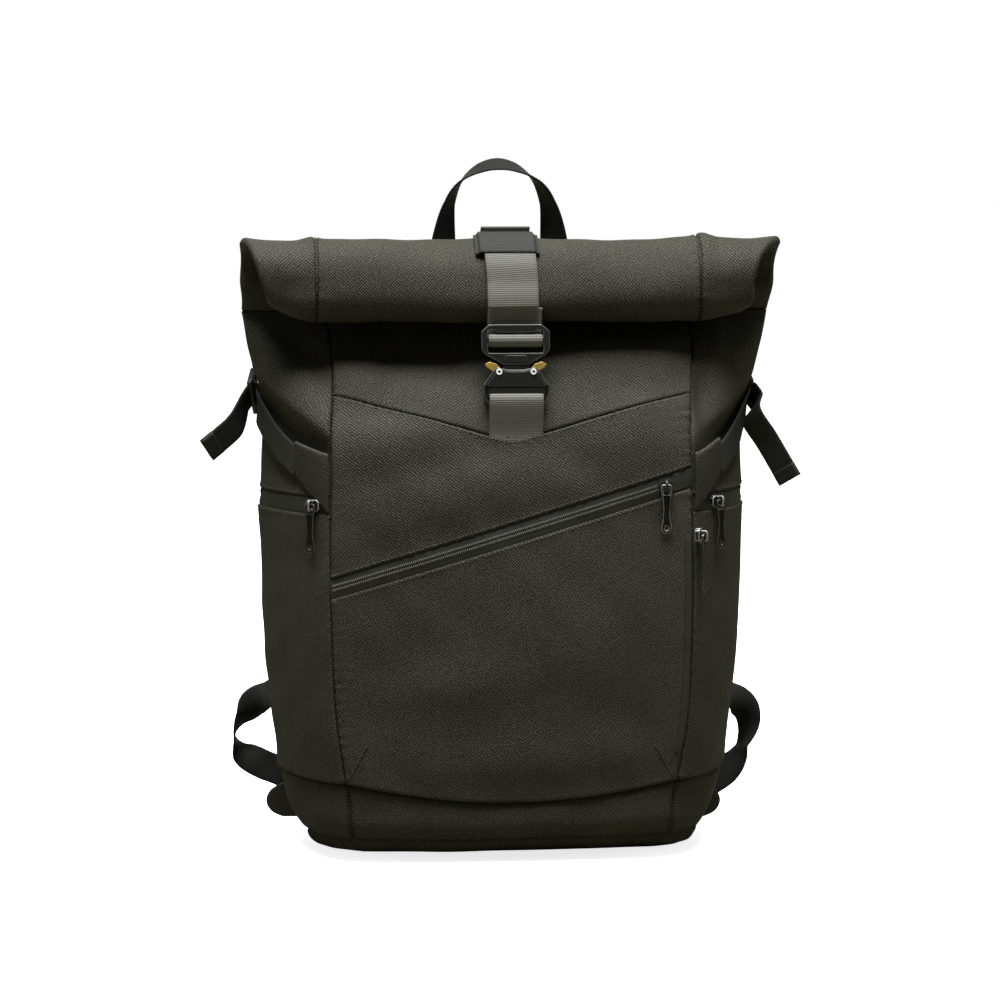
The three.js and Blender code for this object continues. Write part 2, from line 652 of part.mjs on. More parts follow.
function addZippers() {
  const tape = bodyPoint(1, FRONT_ZIP.right).sub(bodyPoint(0, FRONT_ZIP.left));
  const slope = Math.atan2(tape.z, tape.x);
  const front = bodyPoint(FRONT_SLIDER.t, frontZip(FRONT_SLIDER.t)).add(vec(0, -FRONT_SLIDER.off, 0));
  addZipper("front_zip", front, vec(0, -1, 0), slope + Math.PI / 2);
  const facing = (side, turn) => vec(side * Math.sin(turn), -Math.cos(turn), 0);
  for (const { name, side, back } of SIDE_SLIDERS) {
    const place = sideSpot(side, back, SIDE_ZIP.middle, SIDE_SLIDER_OFF);
    addZipper(`side_zip_${name}`, place, facing(side, SIDE_FACING), side * (Math.PI / 2));
  }
  const edge = sideSpot(1, EDGE_SLIDER.back, EDGE_SLIDER.z, EDGE_SLIDER.off);
  addZipper("edge_zip", edge, facing(1, EDGE_SLIDER.facing), 0, PULL.edge_length);
}

// Compression straps on the sides

// Stops of a strap that lies on a side: how far back, the height and the distance off the cloth.
function lying(side, rows) {
  const spots = rows.map(({ back, z, off }) => sideSpot(side, back, z, off));
  return rows.map(({ back, z }, i) => {
    const along = spots[Math.min(i + 1, spots.length - 1)].clone().sub(spots[Math.max(i - 1, 0)]);
    return { place: spots[i], across: bodyNormal(side > 0 ? 1 + back : 4 - back, z).cross(along).normalize() };
  });
}

const LYING = ["back", "z", "off"];
const TAB = table(LYING, [[0.03, 276, 1.6], [0.15, 281, 1.7], [0.27, 286, 1.8]]);
const TAB_CLOTH = { width: 34, thickness: 1.4 };
const STRAP = table(LYING, [[0.3, 289, 1.6], [0.4, 298, 1.8], [0.5, 308, 2.4], [0.58, 315, 3]]);
const LOCK = { back: 0.68, z: 328, off: 7.4, half_width: 14.4, low: -8.4, high: 9.6, thickness: 3.4 };
const LOCK_WINDOWS = table(["half_width", "low", "high"], [[11.6, -5.4, -0.2], [11.6, 3, 7]]);

// The strap's turn around the lock's lower bar, in the lock's own plane
const LOCK_TURN = table(["v", "n"], [[-13, -4], [-8, -4], [-4, -2.8], [-2.6, 0], [-4, 3], [-8, 4.2], [-13, 5.2]]);

// Free tails of the compression straps, from the lock outwards: distance from the middle, y and z
const TAILS = {
  left: table(["x", "y", "z"], [[192, 2, 311], [202, -3, 300], [212, -6, 288]]),
  right: table(["x", "y", "z"], [[191, 2, 306], [198, -3, 288], [207, -6, 264]]),
};
const TAIL_ACROSS = { left: vec(0.63, 0.1, -0.78), right: vec(0.83, -0.1, 0.55) };

function addCompression() {
  for (const [name, side] of [["left", -1], ["right", 1]]) {
    add(`compression_tab_${name}`, ribbon(lying(side, TAB), TAB_CLOTH.width, 4, TAB_CLOTH.thickness), CLOTH);
    const strap = lying(side, STRAP);
    const centre = sideSpot(side, LOCK.back, LOCK.z, LOCK.off);
    const out = bodyNormal(side > 0 ? 1 + LOCK.back : 4 - LOCK.back, LOCK.z);
    const up = centre.clone().sub(strap[strap.length - 1].place).projectOnPlane(out).normalize();
    const right = up.clone().cross(out);
    const near = (v, n) => centre.clone().addScaledVector(up, v).addScaledVector(out, n);
    const across = right.clone().negate();
    const turn = LOCK_TURN.map(({ v, n }) => ({ place: near(v, n), across }));
    const hang = TAIL_ACROSS[name];
    const tail = TAILS[name].map(({ x, y, z }) => ({ place: vec(side * x, y, z), across: hang }));
    const whole = ribbon([...strap, ...turn, ...tail], WEBBING.compression, 52);
    add(`compression_strap_${name}`, whole, WEB);
    const group = planeGroup(centre, right, up);
    const windows = LOCK_WINDOWS.map(({ half_width: w, low, high }) => rectangle(-w, low, w, high));
    const outline = rectangle(-LOCK.half_width, LOCK.low, LOCK.half_width, LOCK.high);
    const half = LOCK.thickness / 2;
    add(`compression_lock_${name}`, plate(outline, -half, half, windows), PLASTIC, group);
  }
}

// Handle and shoulder straps

// The left half of the handle's arch, from its sewn foot to the top; ax, ay and az are the way across it
const HANDLE = table(
  ["x", "y", "z", "ax", "ay", "az"],
  [
    [-41, 42.1, 372, 1, 0, 0],
    [-41, 33.4, 386, 1, 0, 0],
    [-41, 34, 405, 0.9, 0.43, 0],
    [-40, 36, 436, 0.72, 0.69, 0],
    [-35.5, 36, 463, 0.36, 0.93, 0],
    [-27.5, 36, 478, 0.25, 0.95, 0.15],
    [-14, 36, 487.6, 0.1, 0.95, 0.27],
    [0, 36, 490.8, 0, 0.95, 0.31],
  ],
);

function addHandle() {
  const stop = (side, row) => ({
    place: vec(side * row.x, row.y, row.z),
    across: vec(side * row.ax, row.ay, row.az),
  });
  const rest = HANDLE.slice(0, -1).reverse();
  const stops = [...HANDLE.map((row) => stop(1, row)), ...rest.map((row) => stop(-1, row))];
  add("handle", ribbon(stops, WEBBING.handle, 28), WEB);
}

const PAD = { width: 62, thickness: 13 };
const PAD_ROUTE = table(
  ["x", "y", "z", "lean", "share"],
  [
    [62, 62, 358, 0, 0.9],
    [68, 78, 336, 0, 1],
    [76, 92, 296, 0.1, 1],
    [90, 98, 240, 0.25, 1],
    [108, 96, 184, 0.3, 0.9],
    [124, 89, 140, 0.35, 0.58],
  ],
);
const STRAP_LOCK = {
  ...{ x: 128.3, y: 87.1, z: 128.3, lean: 0.363, tilt: 0.159 },
  ...{ half_width: 16, half_height: 12, thickness: 4, rim: 3 },
};
const STRAP_LOCK_BAR = { low: -2, high: 2.5 };
const WING = { x: 146, y: 72.8, thickness: 3.2, left: 8, right: 3 };
const WING_OUTLINE = [[-20, 0], [12, 0], [21, 4], [25, 12], [22, 20], [12, 26], [-20, 28]];

// The webbing between each shoulder pad and its wing, as the loop that it makes beside the bag.
// x is the distance from the middle, and ax, ay and az are the way across the webbing.
const LOOP_COLUMNS = ["x", "y", "z", "ax", "ay", "az"];
const LOOPS = {
  left: table(LOOP_COLUMNS, [
    [127.1, 83.6, 131.6, 0.94, 0, 0.34],
    [129.3, 83.2, 125.6, 0.94, 0, 0.34],
    [130.2, 86.3, 123.1, 0.94, 0, 0.34],
    [131.5, 89.5, 119.4, 0.93, 0.05, 0.36],
    [134, 90.4, 113.5, 0.75, 0.2, 0.6],
    [139, 91, 109, 0.45, 0.3, 0.82],
    [146, 91, 106, 0.1, 0.3, 0.95],
    [168, 92, 97, 0.1, 0.6, 0.8],
    [178, 93, 91, 0.45, 0.1, 0.85],
    [184, 94, 82, 0.6, -0.6, 0.35],
    [190, 95, 74, 0.3, -0.95, 0.1],
    [193, 95, 65, 0, -1, -0.1],
    [188, 94, 54, 0, -0.8, -0.6],
    [173, 90, 45, 0.1, -0.6, -0.78],
    [158, 82, 40, 0.1, -0.25, -0.95],
    [149, 77.4, 34, 0.15, -0.05, -0.97],
    [138, 75.7, 28, 0.2, 0, -0.97],
  ]),
  right: table(LOOP_COLUMNS, [
    [127.1, 83.6, 131.6, 0.94, 0, 0.34],
    [129.3, 83.2, 125.6, 0.94, 0, 0.34],
    [130.2, 86.3, 123.1, 0.94, 0, 0.34],
    [131.5, 89.5, 119.4, 0.93, 0.05, 0.36],
    [134, 90.4, 113.5, 0.75, 0.2, 0.6],
    [139, 91, 109, 0.45, 0.3, 0.82],
    [146, 91, 106, 0.1, 0.3, 0.95],
    [178, 92, 94, 0.1, 0.7, 0.7],
    [188, 93, 87, 0.7, 0.3, 0.6],
    [194, 95, 76, 0.8, -0.55, 0.3],
    [194, 96, 64, 0.5, -0.85, 0.05],
    [190, 95, 53, 0.12, -0.98, -0.1],
    [184, 92, 43, 0.3, -0.75, -0.55],
    [175, 88, 34, 0.35, -0.4, -0.8],
    [161, 81.5, 27, 0.1, -0.25, -0.95],
    [150, 77, 22, 0.1, -0.05, -0.97],
    [138, 75.7, 19, 0.1, 0, -0.97],
  ]),
};

function addShoulderStraps() {
  for (const [name, side] of [["left", -1], ["right", 1]]) {
    const stops = PAD_ROUTE.map(({ x, y, z, lean, share }) => ({
      place: vec(side * x, y, z),
      across: vec(side, 0, lean),
      share,
    }));
    add(`shoulder_pad_${name}`, ribbon(stops, PAD.width, 18, PAD.thickness), CLOTH);

    const up = vec(side * -STRAP_LOCK.lean, STRAP_LOCK.tilt, 1).normalize();
    const place = vec(side * STRAP_LOCK.x, STRAP_LOCK.y, STRAP_LOCK.z);
    const lock = planeGroup(place, up.clone().cross(vec(0, 1, 0)), up);
    const [w, h, rim] = [STRAP_LOCK.half_width, STRAP_LOCK.half_height, STRAP_LOCK.rim];
    const { low, high } = STRAP_LOCK_BAR;
    const windows = [rectangle(rim - w, rim - h, w - rim, low), rectangle(rim - w, high, w - rim, h - rim)];
    const half = STRAP_LOCK.thickness / 2;
    add(`strap_lock_${name}`, plate(rectangle(-w, -h, w, h), -half, half, windows), PLASTIC, lock);

    const loop = LOOPS[name].map(({ x, y, z, ax, ay, az }) => ({
      place: vec(side * x, y, z),
      across: vec(side * ax, ay, az),
    }));
    add(`strap_webbing_${name}`, ribbon(loop, WEBBING.shoulder, 52), WEB);

    const sewn = planeGroup(vec(side * WING.x, WING.y, WING[name]), vec(1, 0, 0), vec(0, 0, 1));
    const shape = side > 0 ? WING_OUTLINE : mirrored(WING_OUTLINE);
    add(`strap_wing_${name}`, plate(shape, -WING.thickness / 2, WING.thickness / 2), CLOTH, sewn);
  }
}

addPanels();
addBase();
addCollar();
addStraps();
addBuckle();
addZippers();
addCompression();
addHandle();
addShoulderStraps();

export default backpack;
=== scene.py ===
# %% [markdown]
# # A roll-top backpack
# A day bag of heavy crepe-woven cloth. Its collar is rolled forward over itself and held down by a webbing
# strap with a metal buckle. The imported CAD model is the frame: each piece made here stands where a CAD
# piece is and rides on the same body, so the buckle's levers and the zipper pulls can still move.

import math

import bmesh
import bpy
import numpy as np
from mathutils import Matrix, Vector


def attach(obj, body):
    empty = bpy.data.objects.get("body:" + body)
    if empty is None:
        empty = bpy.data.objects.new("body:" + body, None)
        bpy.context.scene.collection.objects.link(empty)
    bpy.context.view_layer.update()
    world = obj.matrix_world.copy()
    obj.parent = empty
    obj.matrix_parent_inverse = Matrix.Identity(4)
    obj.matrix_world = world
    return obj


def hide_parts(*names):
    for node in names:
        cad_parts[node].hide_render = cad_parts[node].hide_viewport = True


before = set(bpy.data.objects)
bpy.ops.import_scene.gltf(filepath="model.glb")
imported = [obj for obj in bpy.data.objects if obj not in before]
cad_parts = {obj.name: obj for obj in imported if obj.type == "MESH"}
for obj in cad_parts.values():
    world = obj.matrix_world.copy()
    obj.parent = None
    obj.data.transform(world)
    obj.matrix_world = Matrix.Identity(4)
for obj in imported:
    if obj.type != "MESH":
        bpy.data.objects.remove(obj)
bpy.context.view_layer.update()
MM = 0.001

# %% [markdown]
# ## Camera
# The photograph looks at the front from a little to the left and a little above. A long lens from 2.5 m away
# gives the same gentle perspective. The camera is made first, because every later piece is seen through it.

# %% Camera
VIEW = {"azimuth": -5.0, "elevation": 5.5, "distance": 2.5, "lens": 125.0, "sensor": 36.0}
AIM = Vector((0.0, 0.0, 0.25))
AIM_TO_LEFT = 0.0022


def put_in_scene(name, data):
    item = bpy.data.objects.new(name, data)
    bpy.context.scene.collection.objects.link(item)
    return item


def aim_camera():
    turn, tilt = math.radians(VIEW["azimuth"]), math.radians(VIEW["elevation"])
    level = Vector((math.sin(turn), -math.cos(turn), 0.0))
    back = level * math.cos(tilt) + Vector((0.0, 0.0, math.sin(tilt)))
    right = Vector((math.cos(turn), math.sin(turn), 0.0))
    camera = put_in_scene("camera", bpy.data.cameras.new("camera"))
    camera.data.lens, camera.data.sensor_width = VIEW["lens"], VIEW["sensor"]
    camera.location = AIM - AIM_TO_LEFT * right + VIEW["distance"] * back
    camera.rotation_euler = back.to_track_quat("Z", "Y").to_euler()
    bpy.context.scene.camera = camera
    return camera


print("camera at", [round(c, 3) for c in aim_camera().location])

# %% [markdown]
# ## Node trees
# Materials, the light of the world and the repeated shapes are all node trees. Two small classes keep them
# short. A `Wire` holds a socket, and Python's operators on it add Math nodes, so `1 - mask` works.
# `Tree.node` makes any other node: first its settings, then the values or links of its inputs.

# %% Node helpers


class Wire:
    def __init__(self, tree, socket):
        self.tree, self.socket = tree, socket

    def other(self, name):
        return Wire(self.tree, self.socket.node.outputs[name])

    def math(self, operation, *values):
        return self.tree.node("ShaderNodeMath", {"operation": operation}, dict(enumerate(values)))

    def sine(self):
        return self.math("SINE", self)

    def __add__(self, value):
        return self.math("ADD", self, value)

    def __sub__(self, value):
        return self.math("SUBTRACT", self, value)

    def __rsub__(self, value):
        return self.math("SUBTRACT", value, self)

    def __mul__(self, value):
        return self.math("MULTIPLY", self, value)

    def scaled(self, by, plus):
        return self * by + plus

    __radd__, __rmul__ = __add__, __mul__


class Tree:
    def __init__(self, nodes_of):
        self.tree = nodes_of

    def feed(self, socket, value):
        if isinstance(value, Wire):
            self.tree.links.new(value.socket, socket)
        else:
            socket.default_value = value

    def node(self, kind, settings=(), inputs=(), output=0):
        made = self.tree.nodes.new(kind)
        for name, value in dict(settings).items():
            setattr(made, name, value)
        for name, value in dict(inputs).items():
            self.feed(made.inputs[name], value)
        return Wire(self, made.outputs[output])

    def step(self, value, low, high):
        inputs = {"Value": value, "From Min": low, "From Max": high}
        return self.node("ShaderNodeMapRange", {"interpolation_type": "SMOOTHSTEP"}, inputs)

    def between(self, share, first, second):
        return self.node("ShaderNodeMix", {"data_type": "RGBA"}, {0: share, 6: first, 7: second}, 2)


print("node helpers ready")

# %% [markdown]
# ## Floor and light
# The bag stands on a plain white floor in a white studio. One wide softbox above and in front does most of
# the work: it lights the top of the roll and the sloping yoke, and leaves the front darker and the space
# under the roll black. The camera sees the room and the far floor white, but they give the bag little light,
# as when black flags stand round a set. Weak lamps at the sides and behind are for looking from there.

# %% Floor and light
WHITE = (1.0, 1.0, 1.0, 1.0)
ROOM_FILL = 0.05
FLOOR = {"size": 16.0, "drop": 0.0006, "rough": 0.9}
CONTACT = {"near": 0.045, "far": 0.11, "squash": (0.5, 1.0, 1.0), "glow": 0.78}  # the shade under the bag
FLOOR_SEEN, FLOOR_BOUNCE = (0.95, 0.95, 0.95, 1.0), (0.16, 0.158, 0.1, 1.0)
SOFTBOXES = (  # name, place, aim, size in metres, power in watts
    ("softbox_above", (-0.1, -0.74, 4.0), (0.0, 0.0, 0.3), 2.6, 428.0),
    ("softbox_left", (-2.3, -1.0, 0.9), (0.0, 0.0, 0.25), 1.2, 1.5),
    ("softbox_right", (2.3, -1.0, 0.9), (0.0, 0.0, 0.25), 1.2, 1.5),
    ("softbox_behind", (0.2, 2.4, 0.7), (0.0, 0.0, 0.25), 1.6, 16.0),
)


def light_room():
    scene = bpy.context.scene
    scene.view_settings.view_transform = "Standard"
    scene.world = bpy.data.worlds.new("studio")
    scene.world.use_nodes = True
    tree = Tree(scene.world.node_tree)
    background = scene.world.node_tree.nodes["Background"]
    background.inputs["Color"].default_value = WHITE
    seen = tree.node("ShaderNodeLightPath", output="Is Camera Ray")
    tree.feed(background.inputs["Strength"], seen.scaled(1.0 - ROOM_FILL, ROOM_FILL))
    for name, place, aim, size, power in SOFTBOXES:
        lamp = bpy.data.lights.new(name, "AREA")
        lamp.shape, lamp.size, lamp.energy = "DISK", size, power
        box = put_in_scene(name, lamp)
        box.location = place
        box.rotation_euler = (Vector(place) - Vector(aim)).to_track_quat("Z", "Y").to_euler()


def lay_floor():
    half = FLOOR["size"] / 2
    mesh = bpy.data.meshes.new("floor")
    corners = [(-half, -half), (half, -half), (half, half), (-half, half)]
    mesh.from_pydata([(x, y, -FLOOR["drop"]) for x, y in corners], [], [(0, 1, 2, 3)])
    floor = put_in_scene("floor", mesh)
    white = bpy.data.materials.new("floor_white")
    white.use_nodes = True
    tree, shader = Tree(white.node_tree), white.node_tree.nodes["Principled BSDF"]
    seen = tree.node("ShaderNodeLightPath", output="Is Camera Ray")
    place = tree.node("ShaderNodeTexCoord", output="Object")
    place = tree.node("ShaderNodeVectorMath", {"operation": "MULTIPLY"}, {0: place, 1: CONTACT["squash"]})
    away = tree.node("ShaderNodeVectorMath", {"operation": "LENGTH"}, {0: place}, "Value")
    glow = tree.step(away, CONTACT["near"], CONTACT["far"]).scaled(1 - CONTACT["glow"], CONTACT["glow"])
    tree.feed(shader.inputs["Base Color"], tree.between(seen, FLOOR_BOUNCE, FLOOR_SEEN))
    tree.feed(shader.inputs["Emission Color"], WHITE)
    tree.feed(shader.inputs["Emission Strength"], glow * seen)
    tree.feed(shader.inputs["Roughness"], FLOOR["rough"])
    mesh.materials.append(white)


light_room()
lay_floor()
print("studio with", len(SOFTBOXES), "softboxes")

# %% [markdown]
# ## Cloth finish
# The bag's cloth is a crepe weave: short slanting strokes that lean left in one patch and right in the next.
# Two sets of slanting sine waves, chosen between by a patchy noise and broken up by a finer one, give that.
# The pattern reads the piece's own flat map, which is in metres of cloth, so it has the same size everywhere.

# %% Cloth finish
FLAT = "flat"  # every cloth's map of its cut, in metres
CREPE = {"stroke": 1.5, "patch": 3.2, "broken": 1.0, "wander": 5.0, "stray": 3.0, "cloud": 34.0}
CREPE_TONE = {  # the soft steps' low and high ends, and for the others a factor and what is added
    "patch": (0.42, 0.58),
    "weave": (0.16, 0.94),
    "stroke": (0.38, 0.5),
    "broken": (1.7, 0.1),
    "cloud": (0.7, 0.65),
    "rough": (-0.2, 0.86),
}
CREPE_SHINE = (1.0, 1.0, 0.92, 1.0)


def new_finish(name, roughness, **sockets):
    material = bpy.data.materials.new(name)
    material.use_nodes = True
    tree = Tree(material.node_tree)
    tree.material = material
    tree.shader = material.node_tree.nodes["Principled BSDF"]
    tree.feed(tree.shader.inputs["Roughness"], roughness)
    for socket, value in sockets.items():
        tree.feed(tree.shader.inputs[socket.replace("_", " ")], value)
    return tree


def in_millimetres(tree, kind, settings=(), output=0):
    place = tree.node(kind, settings, output=output)
    return tree.node("ShaderNodeVectorMath", {"operation": "SCALE"}, {"Vector": place, "Scale": 1 / MM})


def cut_millimetres(tree):
    return in_millimetres(tree, "ShaderNodeUVMap", {"uv_map": FLAT})


def object_millimetres(tree):
    return in_millimetres(tree, "ShaderNodeTexCoord", output="Object")


def cloudy(tree, where, size, detail=1.0):
    return tree.node("ShaderNodeTexNoise", {}, {"Vector": where, "Scale": 1 / size, "Detail": detail})


def paint(tree, share, dark, light):
    tree.feed(tree.shader.inputs["Base Color"], tree.between(share, dark, light))


def roughen(tree, wire, by, plus):
    tree.feed(tree.shader.inputs["Roughness"], wire.scaled(by, plus))


def emboss(tree, height, strength, depth):
    """A bump, whose depth is in millimetres."""
    inputs = {"Strength": strength, "Distance": depth * MM, "Height": height}
    tree.feed(tree.shader.inputs["Normal"], tree.node("ShaderNodeBump", {}, inputs))


def crepe_cloth(name, shadow, thread):
    tree = new_finish(name, roughness=0.8, Specular_IOR_Level=0.4, Specular_Tint=CREPE_SHINE)
    cut = cut_millimetres(tree)
    along = tree.node("ShaderNodeSeparateXYZ", {}, {"Vector": cut})
    up = along.other("Y")
    wander = cloudy(tree, cut, CREPE["wander"]) * CREPE["stray"]
    turn = 2 * math.pi / (CREPE["stroke"] * math.sqrt(2))
    rising = ((along + up) * turn + wander).sine()
    falling = ((along - up) * turn + wander).sine()
    patch = tree.step(cloudy(tree, cut, CREPE["patch"]), *CREPE_TONE["patch"])
    strokes = falling + (rising - falling) * patch
    broken = cloudy(tree, cut, CREPE["broken"], detail=2.0)
    lit = strokes.scaled(*CREPE_TONE["stroke"]) * broken.scaled(*CREPE_TONE["broken"])
    weave = tree.step(lit, *CREPE_TONE["weave"])
    cloud = cloudy(tree, cut, CREPE["cloud"], detail=3.0)
    paint(tree, weave * cloud.scaled(*CREPE_TONE["cloud"]), shadow, thread)
    roughen(tree, weave, *CREPE_TONE["rough"])
    emboss(tree, weave, strength=0.6, depth=0.4)
    return tree.material


CLOTH = crepe_cloth("crepe_cloth", (0.0016, 0.0015, 0.0006, 1.0), (0.062, 0.062, 0.043, 1.0))
print("finish:", CLOTH.name)

# %% [markdown]
# ## Webbing and lining cloth
# Nylon webbing has fine ribs across its width, and lines along its length where the yarns cross. Its flat
# map runs across and along the strap, so two sine waves make both. The closing strap is grey, the straps at
# the sides are darker, and the handle and the shoulder webbing are nearly black. The padded back and the
# shoulder pads are faced with a knitted mesh, a close pattern of small dimples, which Voronoi cells match.

# %% Webbing, mesh and thread
RIB = {"pitch": 1.5, "yarn": 1.9, "worn": 3.5}
RIB_TONE = {"bend": 0.3, "rib": 0.34, "yarn": 0.05, "middle": 0.5, "worn": (0.6, 0.7), "rough": (-0.2, 0.82)}
KNIT = {"cell": 2.2, "random": 0.3, "rim": (0.2, 0.6), "cloud": 30.0, "tone": (0.5, 0.7)}
TWIST = {"size": 0.7, "dark": 0.5}  # of the sewing thread


def darker(colour, share):
    return tuple(share * c for c in colour[:3]) + (1.0,)


def ribbed_webbing(name, shadow, thread):
    tree = new_finish(name, roughness=0.7, Specular_IOR_Level=0.16)
    cut = cut_millimetres(tree)
    across = tree.node("ShaderNodeSeparateXYZ", {}, {"Vector": cut})
    along = across.other("Y")
    yarn = (across * (2 * math.pi / RIB["yarn"])).sine()
    rib = (along * (2 * math.pi / RIB["pitch"]) + yarn * RIB_TONE["bend"]).sine()
    weave = rib * RIB_TONE["rib"] + yarn * RIB_TONE["yarn"] + RIB_TONE["middle"]
    worn = cloudy(tree, cut, RIB["worn"], detail=2.0)
    paint(tree, weave * worn.scaled(*RIB_TONE["worn"]), shadow, thread)
    roughen(tree, weave, *RIB_TONE["rough"])
    emboss(tree, weave, strength=0.6, depth=0.3)
    return tree.material


def knitted_mesh(name, shadow, thread):
    tree = new_finish(name, roughness=0.95, Sheen_Weight=0.05, Specular_IOR_Level=0.2)
    cut = cut_millimetres(tree)
    inputs = {"Vector": cut, "Scale": 1 / KNIT["cell"], "Randomness": KNIT["random"]}
    cell = tree.node("ShaderNodeTexVoronoi", {"feature": "F1", "voronoi_dimensions": "2D"}, inputs)
    rim = tree.step(cell, *KNIT["rim"])
    cloud = cloudy(tree, cut, KNIT["cloud"], detail=2.0)
    paint(tree, rim * cloud.scaled(*KNIT["tone"]), shadow, thread)
    emboss(tree, rim, strength=0.7, depth=0.6)
    return tree.material


def sewing_thread(name, colour):
    tree = new_finish(name, roughness=0.6, Specular_IOR_Level=0.4)
    twist = cloudy(tree, object_millimetres(tree), TWIST["size"])
    paint(tree, twist, darker(colour, TWIST["dark"]), colour)
    emboss(tree, twist, strength=0.3, depth=0.1)
    return tree.material


WEBBING = ribbed_webbing("ribbed_webbing", (0.08, 0.079, 0.071, 1.0), (0.19, 0.19, 0.174, 1.0))
SIDE_WEBBING = ribbed_webbing("side_webbing", (0.009, 0.0088, 0.0074, 1.0), (0.052, 0.052, 0.046, 1.0))
DARK_WEBBING = ribbed_webbing("dark_webbing", (0.003, 0.0029, 0.0024, 1.0), (0.021, 0.021, 0.018, 1.0))
MESH_CLOTH = knitted_mesh("knitted_mesh", (0.004, 0.004, 0.0034, 1.0), (0.04, 0.04, 0.036, 1.0))
THREAD = sewing_thread("sewing_thread", (0.085, 0.085, 0.072, 1.0))
print("finishes:", WEBBING.name, SIDE_WEBBING.name, DARK_WEBBING.name, MESH_CLOTH.name, THREAD.name)

# %% [markdown]
# ## Tape, plastic and metal
# The zipper tapes are smooth and coated, with a fine grain. The ladder locks are moulded nylon with a slight
# orange-peel skin. The buckle is black anodised alloy, whose edges are painted a little brighter, partly as
# rubbed wear and partly as a painted highlight; the levers are gold and the rivets bright steel. Sliders and
# pulls are gunmetal, and a second, lighter gunmetal paints their rims, partly where the coat has rubbed off
# and partly as a painted highlight.

# %% Tape, plastic and metal
COAT = {"grain": 0.8, "cloud": 14.0, "grain_share": 0.6, "cloud_share": 0.4, "rough": (0.25, 0.45)}
PEEL = {"size": 0.9, "dark": 0.7, "rough": (0.22, 0.4)}
# where metal edges are painted lighter: partly rubbed wear, partly painted highlight
EDGE_WEAR_AND_LIGHT = {"turned": (0.1, 0.3), "flat": (0.94, 0.985), "bend": (0.515, 0.58), "grain": 0.02, "rough": 0.2}


def coated_tape(name, shadow, thread):
    tree = new_finish(name, roughness=0.55, Specular_IOR_Level=0.35)
    cut = cut_millimetres(tree)
    grain = cloudy(tree, cut, COAT["grain"], detail=2.0)
    cloud = cloudy(tree, cut, COAT["cloud"], detail=2.0)
    paint(tree, grain * COAT["grain_share"] + cloud * COAT["cloud_share"], shadow, thread)
    roughen(tree, grain, *COAT["rough"])
    emboss(tree, grain, strength=0.25, depth=0.12)
    return tree.material


def moulded_nylon(name, colour):
    tree = new_finish(name, roughness=0.5, Specular_IOR_Level=0.45)
    skin = cloudy(tree, object_millimetres(tree), PEEL["size"], detail=2.0)
    paint(tree, skin, darker(colour, PEEL["dark"]), colour)
    roughen(tree, skin, *PEEL["rough"])
    emboss(tree, skin, strength=0.2, depth=0.1)
    return tree.material


def edge_worn_lit_metal(name, colour, edge, roughness, brushed, face=None, metallic=0.9):
    """Metal with lighter edges, partly rubbed wear and partly a painted highlight: where it bends or, on a
    plate, turns away from the plate's face.
    """
    tree = new_finish(name, roughness, Metallic=metallic)
    grain = cloudy(tree, object_millimetres(tree), brushed, detail=2.0)
    # on a plate, bevels turning away from its face are painted lighter: partly wear, partly painted highlight
    if face:
        normal = tree.node("ShaderNodeNewGeometry", output="True Normal")
        lies = tree.node("ShaderNodeVectorMath", {"operation": "DOT_PRODUCT"}, {0: normal, 1: face}, "Value")
        worn_and_lit = tree.step(lies, *EDGE_WEAR_AND_LIGHT["turned"]) * (1.0 - tree.step(lies, *EDGE_WEAR_AND_LIGHT["flat"]))
    else:
        bend = tree.node("ShaderNodeNewGeometry", output="Pointiness")
        worn_and_lit = tree.step(bend + grain * EDGE_WEAR_AND_LIGHT["grain"], *EDGE_WEAR_AND_LIGHT["bend"])
    # edges painted lighter: partly rubbed wear and partly painted highlight
    paint(tree, worn_and_lit, colour, edge)
    roughen(tree, grain - 0.5, EDGE_WEAR_AND_LIGHT["rough"], roughness)
    emboss(tree, grain, strength=0.12, depth=0.06)
    return tree.material


TAPE = coated_tape("coated_tape", (0.007, 0.007, 0.0055, 1.0), (0.04, 0.04, 0.033, 1.0))
COIL = coated_tape("zipper_coil", (0.05, 0.05, 0.044, 1.0), (0.2, 0.2, 0.175, 1.0))
NYLON = moulded_nylon("moulded_nylon", (0.014, 0.014, 0.013, 1.0))
FACING = (0.0, -0.9925, 0.1219)  # the way the buckle faces
# the buckle's bevels take a lighter colour: partly rubbed wear, partly painted highlight
BLACK, BLACK_EDGE_WEAR_AND_HIGHLIGHT = (0.024, 0.024, 0.022, 1.0), (0.15, 0.15, 0.145, 1.0)
BLACK_ALLOY = edge_worn_lit_metal("black_alloy", BLACK, BLACK_EDGE_WEAR_AND_HIGHLIGHT, 0.38, 0.7, FACING, metallic=0.6)
GUNMETAL = edge_worn_lit_metal("gunmetal", (0.012, 0.012, 0.011, 1.0), (0.05, 0.05, 0.048, 1.0), 0.5, 0.9)
# a lighter gunmetal for the rims of sliders and pulls: partly rubbed wear, partly painted highlight
RIM_WEAR_AND_HIGHLIGHT = edge_worn_lit_metal("gunmetal_rim_wear_and_highlight", (0.3, 0.3, 0.28, 1.0), (0.42, 0.42, 0.4, 1.0), 0.4, 0.9, metallic=0.4)
GOLD = edge_worn_lit_metal("gold_plate", (0.5, 0.34, 0.07, 1.0), (0.68, 0.52, 0.18, 1.0), 0.36, 0.8, metallic=0.6)
STEEL = edge_worn_lit_metal("bright_steel", (0.85, 0.85, 0.83, 1.0), (0.95, 0.95, 0.95, 1.0), 0.4, 0.9, metallic=0.2)
print("finishes:", TAPE.name, NYLON.name, BLACK_ALLOY.name, GUNMETAL.name, RIM_WEAR_AND_HIGHLIGHT.name, GOLD.name, STEEL.name)

